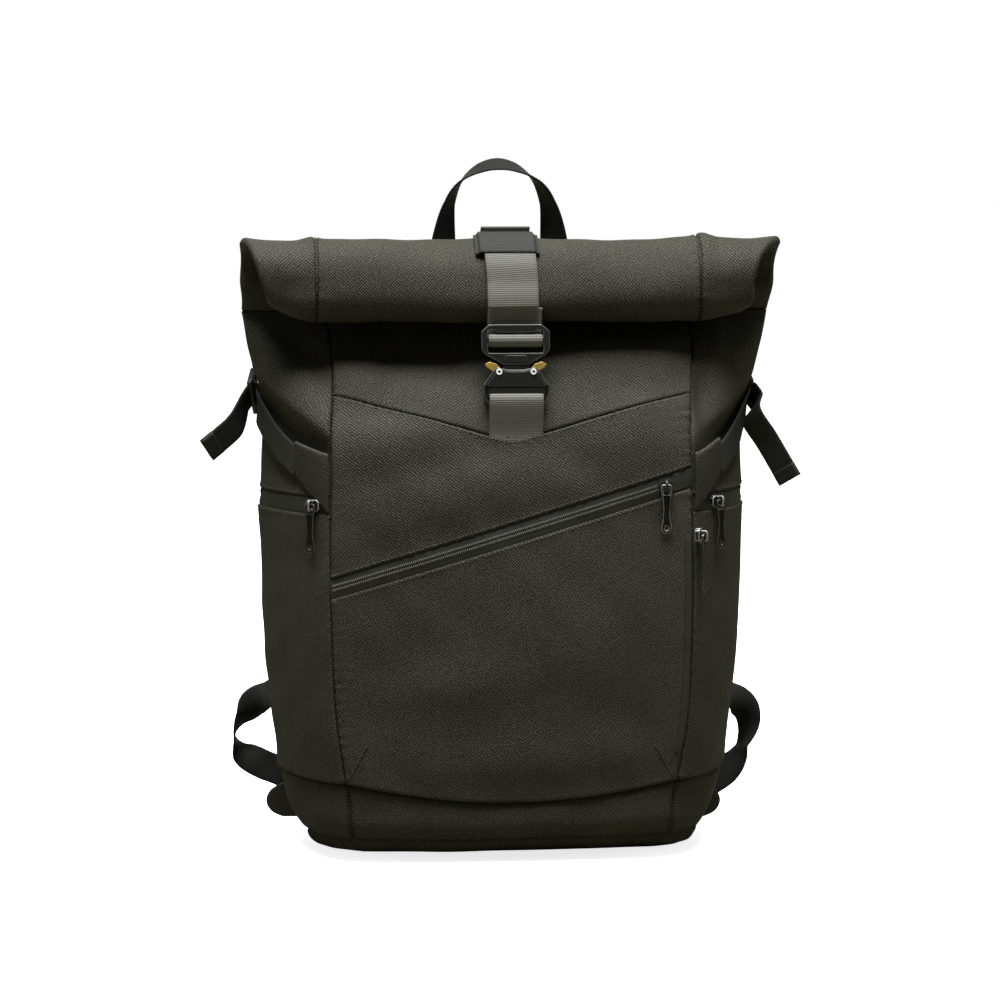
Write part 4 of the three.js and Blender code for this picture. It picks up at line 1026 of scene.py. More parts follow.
def collar_grid():
    loop = tube_loop()
    necks = np.linspace(0, NECK["to"], NECK["rows"])[:, None]
    angles = np.linspace(0, ROLL_TURN["end"], ROLL_ROWS)[:, None]
    smooth = np.concatenate([neck_ring(necks, loop), roll_ring(angles, loop)])
    station = np.concatenate([(necks - 1) * NECK["angle"], angles]) + 0 * loop[None, :, 0]
    out, x = outward(smooth), smooth[..., 0]
    shows = ramp(HIDDEN["from"] - station, 0, HIDDEN["over"])
    away = np.abs(np.abs(x) - ROLL["seam"])
    off = ridges(ROLL_FOLDS, x, station) * (np.sin(np.radians(loop[:, 2])) > 0)
    off -= PRESSED["depth"] * bump(away, PRESSED["half"])
    along = station * PER_DEGREE
    creases = PRESSED["pucker"] * puckers(along, away, COLLAR_SEEDS["pucker"])
    off += creases + ripple(x, along, COLLAR_SEEDS["ripple"], PRESSED["ripple"])
    off = off * shows - turned_in(lengths(smooth, 0), AT_COLLAR[0])
    outer = smooth + out * off[..., None]
    return smooth, outer, outer - out * COLLAR_WALL


smooth, outer, inner = collar_grid()
closed = np.concatenate([smooth, smooth[:, :1]], 1)
around, along = lengths(closed[[FLAT_ROW]], 1)[:, :-1], lengths(smooth[:, [FLAT_COLUMN]], 0)
cut = np.stack(np.broadcast_arrays(around, along), -1)
collar = sheet_piece("roll_collar", outer, inner, cut, CLOTH, wrap=True)
cloth_area(closed)
settle(collar, "body_cloth", "roll_collar")
print("collar cloth:", round(cloth_area(closed), 4), "square metres")

# %% [markdown]
# ## Webbing
# Straps are flat and stiff, so they are modelled directly: a smooth curve through a few stops, each with the
# direction of the webbing's width, and a thin rounded strip along it. The flat map runs across and along the
# strip, so the ribs of the finish follow it round every bend.

# %% Webbing builder
WEB = {"thickness": 1.6, "closing": 38.0, "shoulder": 22.0, "compression": 20.0, "handle": 25.0}
WEB_LAYERS = {"upper": 36.0, "tail": 35.0}  # the closing strap's outer layers show a little narrower
STRIP_STEP = 1.6
STRIP_COLUMNS = 14


def smooth_path(stops, step):
    """Points of a centripetal curve through the stops, and how far along the stops each one is."""
    stops = np.asarray(stops, float)
    padded = np.concatenate([[2 * stops[0] - stops[1]], stops, [2 * stops[-1] - stops[-2]]])
    gaps = np.maximum(np.linalg.norm(np.diff(padded, axis=0), axis=1) ** 0.5, 1e-6)
    points, places = [], []
    for i in range(len(stops) - 1):
        a, b, c, d = padded[i : i + 4]
        before, here, after = gaps[i : i + 3]
        leave = ((b - a) / before - (c - a) / (before + here) + (c - b) / here) * here
        arrive = ((c - b) / here - (d - b) / (here + after) + (d - c) / after) * here
        count = max(int(np.linalg.norm(c - b) / step), 2)
        last = i == len(stops) - 2
        s = np.linspace(0, 1, count + 1)[: count + last]
        u = s[:, None]
        bend = 3 * (c - b) - 2 * leave - arrive + u * (leave + arrive - 2 * (c - b))
        points.append(b + u * (leave + u * bend))
        places.append(i + s)
    return np.concatenate(points), np.concatenate(places)


def strip_frame(stops, across, step=STRIP_STEP):
    """Centre line, width direction and thickness direction along a strip."""
    line, place = smooth_path(stops, step)
    across = np.asarray(across, float)
    near = np.minimum(place.astype(int), len(across) - 2)
    wide = mix(across[near], across[near + 1], (place - near)[:, None])
    along = unit(np.gradient(line, axis=0))
    wide = unit(wide - along * (wide * along).sum(-1, keepdims=True))
    return line, wide, unit(np.cross(along, wide))


def strip_piece(name, stops, across, width, thickness=WEB["thickness"], finish=None, swell=0.0, shares=None):
    line, wide, thick = strip_frame(stops, across)
    if shares is not None:
        wide = wide * np.interp(smooth_path(stops, STRIP_STEP)[1], np.arange(len(shares)), shares)[:, None]
    half, edge = width / 2, thickness / 2
    a = np.concatenate([[-half], np.linspace(-half + edge * 0.5, half - edge * 0.5, STRIP_COLUMNS), [half]])
    rise = np.sqrt(np.clip(1 - (np.clip(np.abs(a) - half + edge, 0, edge) / edge) ** 2, 0, 1)) * edge
    rise = rise + swell * np.clip(1 - (a / half) ** 2, 0, 1)
    loop_a = np.concatenate([a, a[-2:0:-1]])
    loop_b = np.concatenate([rise, -rise[-2:0:-1]])
    grid = line[:, None] + wide[:, None] * loop_a[None, :, None] + thick[:, None] * loop_b[None, :, None]
    rows, columns = grid.shape[:2]
    faces = [list(f) for f in grid_faces(rows, columns, 0, True)]
    faces += [list(range(columns))[::-1], list(range((rows - 1) * columns, rows * columns))]
    along = lengths(line[None], 1)[0]
    cut = np.stack(np.broadcast_arrays(loop_a[None], along[:, None]), -1)
    return new_piece(name, grid, faces, finish or WEBBING, cut)


def joined(name, pieces):
    """Several meshes as one piece."""
    whole = bmesh.new()
    for piece in pieces:
        whole.from_mesh(piece.data)
    mesh = bpy.data.meshes.new(name)
    whole.to_mesh(mesh)
    whole.free()
    mesh.materials.append(pieces[0].data.materials[0])
    for piece in pieces:
        bpy.data.objects.remove(piece)
    return put_in_scene(name, mesh)


print("webbing builder ready")

# %% [markdown]
# ## Closing strap, keeper and anchor strap
# The closing strap is sewn to the back, lies over the roll under a keeper band, and ends in front in a cut
# edge. Under it a second layer runs down, turns round the buckle frame's bar and goes back up. The anchor
# strap turns round the socket's bar, and its end goes into the yoke's pointed seam, under the upper panel.

# %% Closing strap, keeper and anchor strap
STRAP_X = 3.0
BUCKLE_LEAN = math.radians(7)
BUCKLE_UP = np.array([0.0, math.sin(BUCKLE_LEAN), math.cos(BUCKLE_LEAN)])
BUCKLE_OUT = np.array([0.0, -math.cos(BUCKLE_LEAN), math.sin(BUCKLE_LEAN)])
BUCKLE_AT = np.array([STRAP_X, -66.2, 352.0])
LEVEL = (1.0, 0.0, 0.0)
UPPER_X = 1.5  # the upper layer lies a little left of the lower one
SLANT = 2.1  # how much further left it is on top of the roll
OVER = {"from": 62, "to": 180, "stops": 6, "off": 2.0, "loosens": 0.02}  # angles, and how far off the roll
WRAP = (  # the lower layer round the frame's bar: up the buckle and out of it
    (38, -1.0), (29, -3.8), (24.4, -4.6), (20.6, -3.0), (19.9, 0.2), (18.4, 2.6), (16.4, 3.2), (14.4, 2.6),
    (12.9, 0.2), (12.4, -3.6), (16, -6.6), (24, -7.0), (34, -6.2),
)
ANCHOR_WRAP = (  # the anchor strap round the socket's bar
    (-28.5, 5.4), (-24.4, 5.8), (-21.8, 4.0), (-20.9, 0.0),
    (-21.8, -4.0), (-24.4, -6.2), (-28, -6.4), (-32, -4.8),
)


def over_roll(x, angle, off):
    reach, bend = ROLL["radius"] + ROLL["half"] + off, math.radians(angle)
    x -= SLANT * math.sin(max(bend, math.pi / 2))
    return [x, ROLL["y"] + reach * math.cos(bend), ROLL["z"] + reach * math.sin(bend)]


def on_buckle(v, n):
    return (BUCKLE_AT + v * BUCKLE_UP + n * BUCKLE_OUT).tolist()


def at_section(z, column, off):
    return [STRAP_X, float(smooth_rows(SECTIONS, np.array(float(z)))[column]) + off, z]


def behind_back(z, off):
    return at_section(z, BACK_Y, off)


def on_front(z, off):
    return at_section(z, FRONT_Y, -off)


upper = [behind_back(352, 1.6), behind_back(368, 1.6), behind_back(384, 1.8), [STRAP_X, 14.0, 424.0]]
for angle in np.linspace(OVER["from"], OVER["to"], OVER["stops"]):
    upper.append(over_roll(UPPER_X, angle, OVER["off"] + OVER["loosens"] * max(0.0, angle - 90)))
upper += [[UPPER_X, -63.3, 399.0], [UPPER_X + 0.1, -64.2, 391.0]]
under = [[STRAP_X + 1.0, -61.9, 394.5]] + [on_buckle(v, n) for v, n in WRAP]
tail = [over_roll(UPPER_X, *stop) for stop in ((66, 4.0), (76, 4.4), (84, 5.4), (88, 7.6))]
layers = [
    strip_piece("upper", upper, [LEVEL] * len(upper), WEB_LAYERS["upper"]),
    strip_piece("under", under, [LEVEL] * len(under), WEB["closing"]),
    strip_piece("tail", tail, [LEVEL] * len(tail), WEB_LAYERS["tail"]),
]
settle(joined("closing_strap", layers), "webbing", "closing_strap")

anchor = [on_front(292, -2.6), on_front(297, -1.7), on_front(302, -0.3), on_front(307, 2.2)]
anchor += [on_buckle(v, n) for v, n in ANCHOR_WRAP]
anchor += [on_front(315, 1.6), on_front(304, -1.2), on_front(296, -2.8)]
settle(strip_piece("anchor_strap", anchor, [LEVEL] * len(anchor), WEB["closing"]), "webbing", "anchor_strap")

KEEPER = {"x": -1.3, "half": 18.8, "foot": 21.2, "end": 22.6, "from": 95.0, "to": 142.5, "rows": 22}
KEEPER_OFF = {"middle": 3.8, "ends": 1.4, "outer": 0.9, "inner": -0.7}


def keeper_piece():
    """A band over the strap, whose folded ends are sewn to the roll."""
    u = np.array([-1.0, -0.985, -0.96, -0.94, -0.915, -0.89, -0.865, -0.84, -0.8, -0.6, -0.3, 0.0])
    u = np.concatenate([u, -u[-2::-1]]) * KEEPER["end"]
    angle = np.radians(np.linspace(KEEPER["to"], KEEPER["from"], KEEPER["rows"]))[:, None]
    down = eased(ramp(np.abs(u), KEEPER["half"], KEEPER["foot"]))
    rise = mix(KEEPER_OFF["middle"], KEEPER_OFF["ends"], down)

    def layer(extra):
        reach = ROLL["radius"] + ROLL["half"] + rise[None] + extra
        y, z = ROLL["y"] + reach * np.cos(angle), ROLL["z"] + reach * np.sin(angle)
        return np.stack([KEEPER["x"] + u[None] + 0 * y, y, z], -1)

    outer, inner = layer(KEEPER_OFF["outer"]), layer(KEEPER_OFF["inner"])
    return sheet_piece("strap_keeper", outer, inner, flat_cut(outer), SIDE_WEBBING)


settle(keeper_piece(), "body_cloth", "strap_keeper")

# %% [markdown]
# ## Plates
# The buckle, the levers and the locks are stamped or moulded plates with rounded corners and a small bevel on
# every edge. A flat 2D curve with holes, an extrusion and a bevel makes exactly that, and it becomes a mesh
# before it is put in place.

# %% Plate builder
CORNER_MOST = 0.48  # share of a side that a corner's arc may take
PLATE_SHARP = math.radians(12)
SAME_POINT = 1e-6  # in metres


def rounded_outline(outline, radius, steps=10):
    """A closed outline whose corners are arcs, no larger than its sides allow."""
    points = [np.array(p, float) for p in outline]
    result = []
    for i, corner in enumerate(points):
        back, ahead = points[i - 1] - corner, points[(i + 1) % len(points)] - corner
        long_back, long_ahead = np.linalg.norm(back), np.linalg.norm(ahead)
        back, ahead = back / long_back, ahead / long_ahead
        half_angle = math.acos(np.clip(back @ ahead, -1, 1)) / 2
        cut = min(radius / max(math.tan(half_angle), 1e-3), CORNER_MOST * long_back, CORNER_MOST * long_ahead)
        start, end = corner + back * cut, corner + ahead * cut
        for s in np.linspace(0, 1, steps):
            result.append((1 - s) ** 2 * start + 2 * s * (1 - s) * corner + s * s * end)
    return result


def circle_outline(u, v, radius, count=36):
    turns = np.arange(count) * 2 * math.pi / count
    return [np.array([u + radius * math.cos(a), v + radius * math.sin(a)]) for a in turns]


def mirrored(outline):
    return [(-u, v) for u, v in outline][::-1]


def both_sides(half):
    return mirrored(half) + list(half)


def evaluated_mesh(item):
    """The mesh that an object's curve or modifiers come to."""
    return bpy.data.meshes.new_from_object(item.evaluated_get(bpy.context.evaluated_depsgraph_get()))


def apply_modifiers(piece):
    """Puts what the modifiers make in the place of a piece's mesh."""
    done = evaluated_mesh(piece)
    piece.modifiers.clear()
    piece.data = done
    return done


def plane_matrix(origin, right, up):
    right, up = Vector(right).normalized(), Vector(up).normalized()
    turned = Matrix((right, up, right.cross(up))).transposed().to_4x4()
    return Matrix.Translation(Vector(origin) * MM) @ turned


def plate(name, outlines, low, high, edge, place, finish):
    """A plate between two distances out of a plane; the first outline is its edge, the others are holes."""
    curve = bpy.data.curves.new(name, "CURVE")
    curve.dimensions, curve.fill_mode = "2D", "BOTH"
    curve.extrude, curve.bevel_depth, curve.bevel_resolution = (high - low) / 2 * MM - edge * MM, edge * MM, 2
    curve.offset = -edge * MM
    for outline in outlines:
        spline = curve.splines.new("POLY")
        spline.points.add(len(outline) - 1)
        spline.use_cyclic_u = True
        for point, (u, v) in zip(spline.points, outline):
            point.co = (u * MM, v * MM, 0.0, 1.0)
    shape = put_in_scene(name, curve)
    mesh = evaluated_mesh(shape)
    bpy.data.objects.remove(shape)
    mesh.materials.clear()
    mesh.materials.append(finish)
    tidy = bmesh.new()
    tidy.from_mesh(mesh)
    bmesh.ops.remove_doubles(tidy, verts=tidy.verts, dist=SAME_POINT)
    bmesh.ops.recalc_face_normals(tidy, faces=tidy.faces)
    flat = tidy.loops.layers.uv.get(FLAT) or tidy.loops.layers.uv.new(FLAT)
    for face in tidy.faces:
        for corner in face.loops:
            corner[flat].uv = corner.vert.co.xy
    tidy.to_mesh(mesh)
    tidy.free()
    mesh.transform(place @ Matrix.Translation((0.0, 0.0, (low + high) / 2 * MM)))
    mesh.shade_smooth()
    mesh.set_sharp_from_angle(angle=PLATE_SHARP)
    return put_in_scene(name, mesh)


print("plate builder ready")

# %% [markdown]
# ## Buckle
# A quick-release buckle of black alloy. The strap runs round a bar in the frame, whose tongue goes into the
# socket. The socket is two plates with a gap between them for two gold levers, which turn on bright rivets:
# squeezed together, they let the tongue go. Its faces are left bare.

# %% Buckle
BUCKLE = plane_matrix(BUCKLE_AT, LEVEL, BUCKLE_UP)
FRAME_HALF = ((18.5, 27.4), (24.0, 22.6), (24.0, 10.0), (21.6, 6.4), (13.4, 2.0), (9.0, -0.9))
TOP_WINDOW = ((-19.4, 18.2), (19.4, 18.2), (19.4, 23.4), (15.2, 23.4),
              (12.6, 21.6), (-12.6, 21.6), (-15.2, 23.4), (-19.4, 23.4))
LOW_WINDOW = ((-19.4, 7.4), (19.4, 7.4), (19.4, 14.6), (-19.4, 14.6))
TONGUE_HALF = ((8.6, 1.0), (8.6, -11.0), (8.0, -13.0))
EMBOSS_HALF = ((7.6, 5.6), (7.6, 2.4), (6.2, 1.2))
SOCKET_HALF = ((5.0, -4.6), (10.0, -3.6), (13.6, -2.4), (16.6, -6.2),
               (22.8, -14.6), (22.8, -21.0), (19.6, -28.6))
SOCKET_FACE = ((4.6, -6.0), (9.4, -5.0), (12.6, -4.2), (14.8, -7.2), (19.8, -13.8), (19.8, -16.2))
SOCKET_SLOT = ((-19.4, -24.4), (19.4, -24.4), (19.4, -17.6), (-19.4, -17.6))
SOCKET_CORE = ((19.6, -15.4), (22.6, -15.6), (22.6, -21.0), (19.4, -28.4))
RIVETS = {"left": -12.0, "right": 12.0}
# Of each rivet: how high it is on the buckle, then the radii of its parts and holes.
RIVET = {"v": -6.0, "hole": 2.0, "well": 2.9, "head": 2.2, "dimple": 0.95, "pin": 1.6, "foot": 2.5}
LEVER = ((9.7, -10.0), (11.5, -12.4), (14.0, -9.6), (16.4, -5.2), (20.2, -2.8), (21.9, -0.4), (18.4, 1.3),
         (13.4, -0.2), (9.8, -4.4))


def rivet_circle(u, radius):
    return circle_outline(u, RIVET["v"], RIVET[radius])


def buckle_plate(name, outlines, low, high, edge, finish=BLACK_ALLOY):
    return plate(name, outlines, low, high, edge, BUCKLE, finish)


frame_plate = [rounded_outline(both_sides(FRAME_HALF), 3.2)]
frame_plate += [rounded_outline(TOP_WINDOW, 1.2), rounded_outline(LOW_WINDOW, 1.8)]
parts = [
    buckle_plate("frame", frame_plate, -2.0, 2.0, 0.8),
    buckle_plate("tongue", [rounded_outline(both_sides(TONGUE_HALF), 0.8)], -1.3, 1.3, 0.2),
    buckle_plate("emboss", [rounded_outline(both_sides(EMBOSS_HALF), 1.4)], 1.6, 2.4, 0.3),
]
settle(joined("buckle_frame", parts), "black_metal", "buckle_frame")

socket = [rounded_outline(both_sides(SOCKET_HALF), 2.0), rounded_outline(SOCKET_SLOT, 2.4)]
holes, wells, bosses = ([rivet_circle(u, r) for u in RIVETS.values()] for r in ("hole", "well", "dimple"))
core = [rounded_outline(both_sides(SOCKET_CORE), 1.0), rounded_outline(SOCKET_SLOT, 2.4)]
parts = [
    buckle_plate("front", socket + holes, 1.9, 4.5, 0.6),
    buckle_plate("rear", socket + holes, -4.5, -1.9, 0.6),
    buckle_plate("core", core, -2.3, 2.3, 0.2),
    buckle_plate("face", [rounded_outline(both_sides(SOCKET_FACE), 1.6)] + wells, 4.3, 5.0, 0.25),
]
parts += [buckle_plate("boss", [boss], 4.0, 5.4, 0.1) for boss in bosses]
settle(joined("buckle_body", parts), "black_metal", "buckle_body")
for name, u in RIVETS.items():
    outlines = [rounded_outline(LEVER if u > 0 else mirrored(LEVER), 1.4), rivet_circle(u, "hole")]
    piece = buckle_plate(f"buckle_lever_{name}", outlines, -1.5, 1.5, 0.5, GOLD)
    settle(piece, "gold_metal", f"buckle_lever_{name}", body=f"buckle_lever_{name}")
    ring_and_pin = [
        buckle_plate("head", [rivet_circle(u, "head"), rivet_circle(u, "dimple")], 4.6, 5.7, 0.3, STEEL),
        buckle_plate("pin", [rivet_circle(u, "pin")], -4.9, 2.6, 0.1, STEEL),
        buckle_plate("foot", [rivet_circle(u, "foot")], -5.8, -4.9, 0.3, STEEL),
    ]
    settle(joined(f"buckle_rivet_{name}", ring_and_pin), "bright_metal", f"buckle_rivet_{name}")

# %% [markdown]
# ## Small hardware
# The CAD shapes of the zipper sliders, pulls and ladder locks are right, but their edges are knife sharp. A
# copy of each is merged, its flat faces are joined up again, and a Bevel modifier rounds the edges, so that
# they catch the light as cast metal and moulded nylon do. On sliders and pulls the modifier's new faces take
# a lighter gunmetal, which draws their rims: partly rubbed wear and partly a painted highlight.

# %% Small hardware
BEVEL = {"slider": 0.45, "pull": 0.4, "lock": 0.7}  # in millimetres
FLAT_ANGLE, EDGE_ANGLE, SHARP_ANGLE = math.radians(2), math.radians(35), math.radians(40)


def softened_copy(node, bevel, finish, rim=None):
    shape = bmesh.new()
    shape.from_mesh(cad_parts[node].data)
    bmesh.ops.remove_doubles(shape, verts=shape.verts, dist=SAME_POINT)
    bmesh.ops.dissolve_limit(shape, angle_limit=FLAT_ANGLE, verts=shape.verts, edges=shape.edges)
    mesh = bpy.data.meshes.new(node)
    shape.to_mesh(mesh)
    shape.free()
    mesh.materials.append(finish)
    mesh.materials.append(rim or finish)
    piece = put_in_scene(f"{node}_finished", mesh)
    edge = piece.modifiers.new("edge", "BEVEL")
    edge.width, edge.segments, edge.limit_method, edge.angle_limit = bevel * MM, 2, "ANGLE", EDGE_ANGLE
    # the bevel faces take the rim finish, painted lighter as wear and as highlight
    edge.material = 1 if rim else 0
    done = apply_modifiers(piece)
    if not rim:
        done.materials.pop()
    done.shade_smooth()
    done.set_sharp_from_angle(angle=SHARP_ANGLE)
    return piece


ZIPS = ("front_zip", "side_zip_left", "side_zip_right", "edge_zip")
for zip_name in ZIPS:
    slider = softened_copy(f"{zip_name}_slider", BEVEL["slider"], GUNMETAL, RIM_WEAR_AND_HIGHLIGHT)
    settle(slider, "gunmetal", f"{zip_name}_slider")
    pull = softened_copy(f"{zip_name}_pull", BEVEL["pull"], GUNMETAL, RIM_WEAR_AND_HIGHLIGHT)
    settle(pull, "gunmetal", f"{zip_name}_pull", body=f"{zip_name}_pull")
for side in ("left", "right"):
    for lock in (f"compression_lock_{side}", f"strap_lock_{side}"):
        settle(softened_copy(lock, BEVEL["lock"], NYLON), "black_plastic", lock)

# %% [markdown]
# ## Compression straps
# A cloth tab comes out of each front seam and holds a webbing strap, which runs up the side to a ladder lock
# and turns back through it. Its free end hangs out beside the bag with a folded hem. The tab is a sheet
# on the body's surface, and the strap follows the CAD's stops.

# %% Compression straps
SIDES = (("left", -1), ("right", 1))
TABS = {  # top at the seam, top outside, low outside, low at the seam: distance behind the seam, z
    "left": ((1.0, 289), (33, 297), (41, 276), (1.5, 248)),
    "right": ((1.0, 288), (29, 298), (39, 275), (1.5, 248)),
}
TAB = {"off": 2.4, "thick": 1.5, "lean": 6.0, "wave": 0.5, "waves": 5, "tall": 24, "wide": 30, "round": 1.2}
TAB_GRID = (25, 21)
STRAP_STOPS = ((0.2, 281, 1.8), (0.3, 289, 2.0), (0.4, 298, 2.4), (0.5, 308, 2.6), (0.58, 315, 3.0))
LOCK = {"back": 0.68, "z": 328.0, "off": 7.4}
LOCK_TURN = ((-13, -4), (-8, -4), (-4, -2.8), (-2.6, 0), (-4, 3), (-8, 4.2), (-13, 5.2))
TAILS = {
    "left": ((192, 2, 305), (202, -3, 296), (212, -6, 288)),
    "right": ((180, -2, 310), (191, -5, 292), (207, -10, 264)),
}
TAIL_ACROSS = {"left": np.array([0.46, 0.5, -0.89]), "right": np.array([0.66, -0.6, 0.7])}
HEM = {"length": 10.0, "bend": 4.0, "over": 0.4, "lift": 0.9}


def side_turn(side, back):
    return 1 + back if side > 0 else 4 - back


def side_place(side, back, z, off):
    turn, z = np.asarray(side_turn(side, np.asarray(back, float))), np.asarray(z, float)
    return body_place(turn, z) + body_out(turn, z) * np.asarray(off)[..., None]


def tab_piece(name, side, corners):
    top_in, top_out, low_out, low_in = (np.array(c, float) for c in corners)
    r, s = np.linspace(0, 1, TAB_GRID[0])[:, None, None], np.linspace(0, 1, TAB_GRID[1])[None, :, None]
    spot = mix(mix(low_in, low_out, s), mix(top_in, top_out, s), r)
    back, z = spot[..., 0] / SIDE_LENGTH, spot[..., 1]
    off = TAB["off"] + TAB["lean"] * r[..., 0] + TAB["wave"] * np.sin(s * TAB["waves"])[..., 0]
    for gap in ((1 - r) * TAB["tall"], (1 - s) * TAB["wide"], r * TAB["tall"]):
        off = off - turned_in(gap[..., 0] + 0 * z, TAB["round"])
    outer, inner = side_place(side, back, z, off), side_place(side, back, z, off - TAB["thick"])
    cut = spot * [side, 1]
    if side < 0:
        outer, inner, cut = outer[:, ::-1], inner[:, ::-1], cut[:, ::-1]
    return sheet_piece(name, outer, inner, cut, CLOTH), outer


def compression_strap(name, side):
    rows = np.array(STRAP_STOPS)
    places = side_place(side, rows[:, 0], rows[:, 1], rows[:, 2])
    out = body_out(side_turn(side, rows[:, 0]), rows[:, 1])
    wide = unit(np.cross(out, np.gradient(places, axis=0)))
    centre = side_place(side, LOCK["back"], LOCK["z"], LOCK["off"])
    lock_out = body_out(np.array(side_turn(side, LOCK["back"])), np.array(LOCK["z"]))
    up = centre - places[-1]
    up = unit(up - lock_out * (up @ lock_out))
    across = -np.cross(up, lock_out)
    turn = np.array([centre + v * up + n * lock_out for v, n in LOCK_TURN])
    tail, hang = np.array(TAILS[name], float) * [side, 1, 1], TAIL_ACROSS[name]
    stops = np.concatenate([places, turn, tail])
    widths = np.concatenate([wide, [across] * len(turn), [hang] * len(tail)])
    strap = strip_piece("strap", stops, widths, WEB["compression"], finish=SIDE_WEBBING)
    along, end = unit(tail[-1] - tail[-2]), tail[-1]
    hem = np.array([end - along * HEM["length"], end - along * HEM["bend"], end + along * HEM["over"]])
    thick = 2 * WEB["thickness"] + HEM["lift"]
    hem = strip_piece("hem", hem, [hang] * 3, WEB["compression"] + HEM["over"], thick, SIDE_WEBBING)
    return joined(f"compression_strap_{name}", [strap, hem])


for side, sign in SIDES:
    tab, grid = tab_piece(f"compression_tab_{side}", sign, TABS[side])
    cloth_area(grid)
    settle(tab, "body_cloth", f"compression_tab_{side}")
    settle(compression_strap(side, sign), "webbing", f"compression_strap_{side}")

# %% [markdown]
# ## Handle and shoulder webbing
# The grab handle is a strip of webbing sewn to the back panel and twisted so that it stands up as an arch.
# Below, each shoulder strap's webbing leaves its lock, makes a loop beside the bag and is sewn into a small
# cloth wing at the bottom corner.

# %% Handle, shoulder webbing and wings
HANDLE = np.array([  # x, y, z and the way across
    [-41, 42.1, 372, 1, 0, 0],
    [-41, 33.4, 386, 1, 0, 0],
    [-41, 34, 405, 0.9, 0.43, 0],
    [-40, 36, 436, 0.72, 0.69, 0],
    [-35.5, 36, 463, 0.36, 0.93, 0],
    [-27.5, 36, 478, 0.25, 0.95, 0.15],
    [-14, 36, 487.6, 0.1, 0.95, 0.27],
    [0, 36, 490.8, 0, 0.95, 0.31],
])
LOOP_START = [  # both sides leave the lock alike
    [127.1, 83.6, 131.6, 0.94, 0, 0.34],
    [129.3, 83.2, 125.6, 0.94, 0, 0.34],
    [130.2, 86.3, 123.1, 0.94, 0, 0.34],
    [131.5, 89.5, 119.4, 0.93, 0.05, 0.36],
    [134, 90.4, 113.5, 0.75, 0.2, 0.6],
    [139, 91, 109, 0.45, 0.3, 0.82],
    [146, 91, 106, 0.1, 0.3, 0.95],
]
LOOPS = {
    "left": np.array(LOOP_START + [
        [168, 92, 97, 0.1, 0.6, 0.8],
        [178, 93, 91, 0.45, 0.1, 0.85],
        [184, 94, 82, 0.6, -0.6, 0.35],
        [190, 95, 74, 0.3, -0.95, 0.1],
        [193, 95, 65, 0, -1, -0.1],
        [188, 94, 54, 0, -0.65, -0.75],
        [173, 90, 45, 0.1, -0.2, -0.97],
        [158, 82, 40, 0.1, -0.25, -0.95],
        [149, 77.4, 34, 0.15, -0.05, -0.97],
        [138, 75.7, 28, 0.2, 0, -0.97],
    ]),
    "right": np.array(LOOP_START + [
        [178, 92, 94, 0.1, 0.7, 0.7],
        [188, 93, 87, 0.7, 0.3, 0.6],
        [194, 95, 76, 0.8, -0.55, 0.3],
        [194, 96, 64, 0.5, -0.85, 0.05],
        [190, 95, 53, 0.12, -0.98, -0.1],
        [184, 92, 43, 0.3, -0.75, -0.55],
        [175, 88, 34, 0.35, -0.4, -0.8],
        [161, 81.5, 27, 0.1, -0.25, -0.95],
        [150, 77, 22, 0.1, -0.05, -0.97],
        [138, 75.7, 19, 0.1, 0, -0.97],
    ]),
}
WING = {"x": 146.0, "y": 72.8, "thickness": 3.2, "round": 12.0, "edge": 1.2, "left": 8.0, "right": 3.0}
WING_OUTLINE = ((-20, 0), (12, 0), (21, 4), (25, 12), (22, 20), (12, 26), (-20, 28))

flip = np.array([-1, 1, 1])
stops = np.concatenate([HANDLE[:, :3], HANDLE[-2::-1, :3] * flip])
widths = np.concatenate([HANDLE[:, 3:], HANDLE[-2::-1, 3:] * flip])
settle(strip_piece("handle", stops, widths, WEB["handle"], finish=DARK_WEBBING), "webbing", "handle")
for side, sign in SIDES:
    name, loop = f"strap_webbing_{side}", LOOPS[side] * [sign, 1, 1, sign, 1, 1]
    webbing = strip_piece(name, loop[:, :3], loop[:, 3:], WEB["shoulder"], finish=DARK_WEBBING)
    settle(webbing, "webbing", f"strap_webbing_{side}")
    outline = rounded_outline(WING_OUTLINE if sign > 0 else mirrored(WING_OUTLINE), WING["round"])
    place = plane_matrix((sign * WING["x"], WING["y"], WING[side]), LEVEL, (0, 0, 1))
    half = WING["thickness"] / 2
    wing = plate(f"strap_wing_{side}", [outline], -half, half, WING["edge"], place, CLOTH)
    settle(wing, "body_cloth", f"strap_wing_{side}")

# %% [markdown]
# ## Sewn trims
# A narrow welt of smooth tape covers the hidden zipper along the front's right edge, and a small patch of
# the same tape closes the slanting zipper's upper end. Two short darts shape the pocket's lower corners: each
# is a fine raised seam. All of them lie on the folded surface, so they are strips and a sheet laid on it.

# %% Sewn trims
WELT = {"turn": 0.986, "low": 78.0, "high": 241.0, "width": 5.0, "thickness": 2.2, "off": 0.3, "stops": 40}
WELT_TOP = 14.0  # the length over which its upper end sinks in
WELT_FOOT = {"by": 0.012, "from": 100.0, "over": 40.0}  # how its lower end bends inwards
PATCH = {"from": 0.944, "to": 0.995, "off": -0.2, "wall": 1.6, "inside": 0.6}
PATCH_EDGE = {"turn": 0.02, "length": 8, "round": 1.2}
PATCH_GRID = (16, 14)
DART = {"width": 1.4, "thickness": 1.4, "off": 0.1, "stops": 12}
DARTS = {"left": ((0.0785, 85.4), (0.008, 60.5)), "right": ((0.916, 83.3), (0.983, 60.5))}


def surface_line(turns, heights, off):
    """Points along the folded surface, and the directions out of it."""
    turns, z = np.asarray(turns, float), np.asarray(heights, float)
    out = body_out(turns, z)
    return body_place(turns, z) + out * (folds(turns, z) + off)[..., None], out


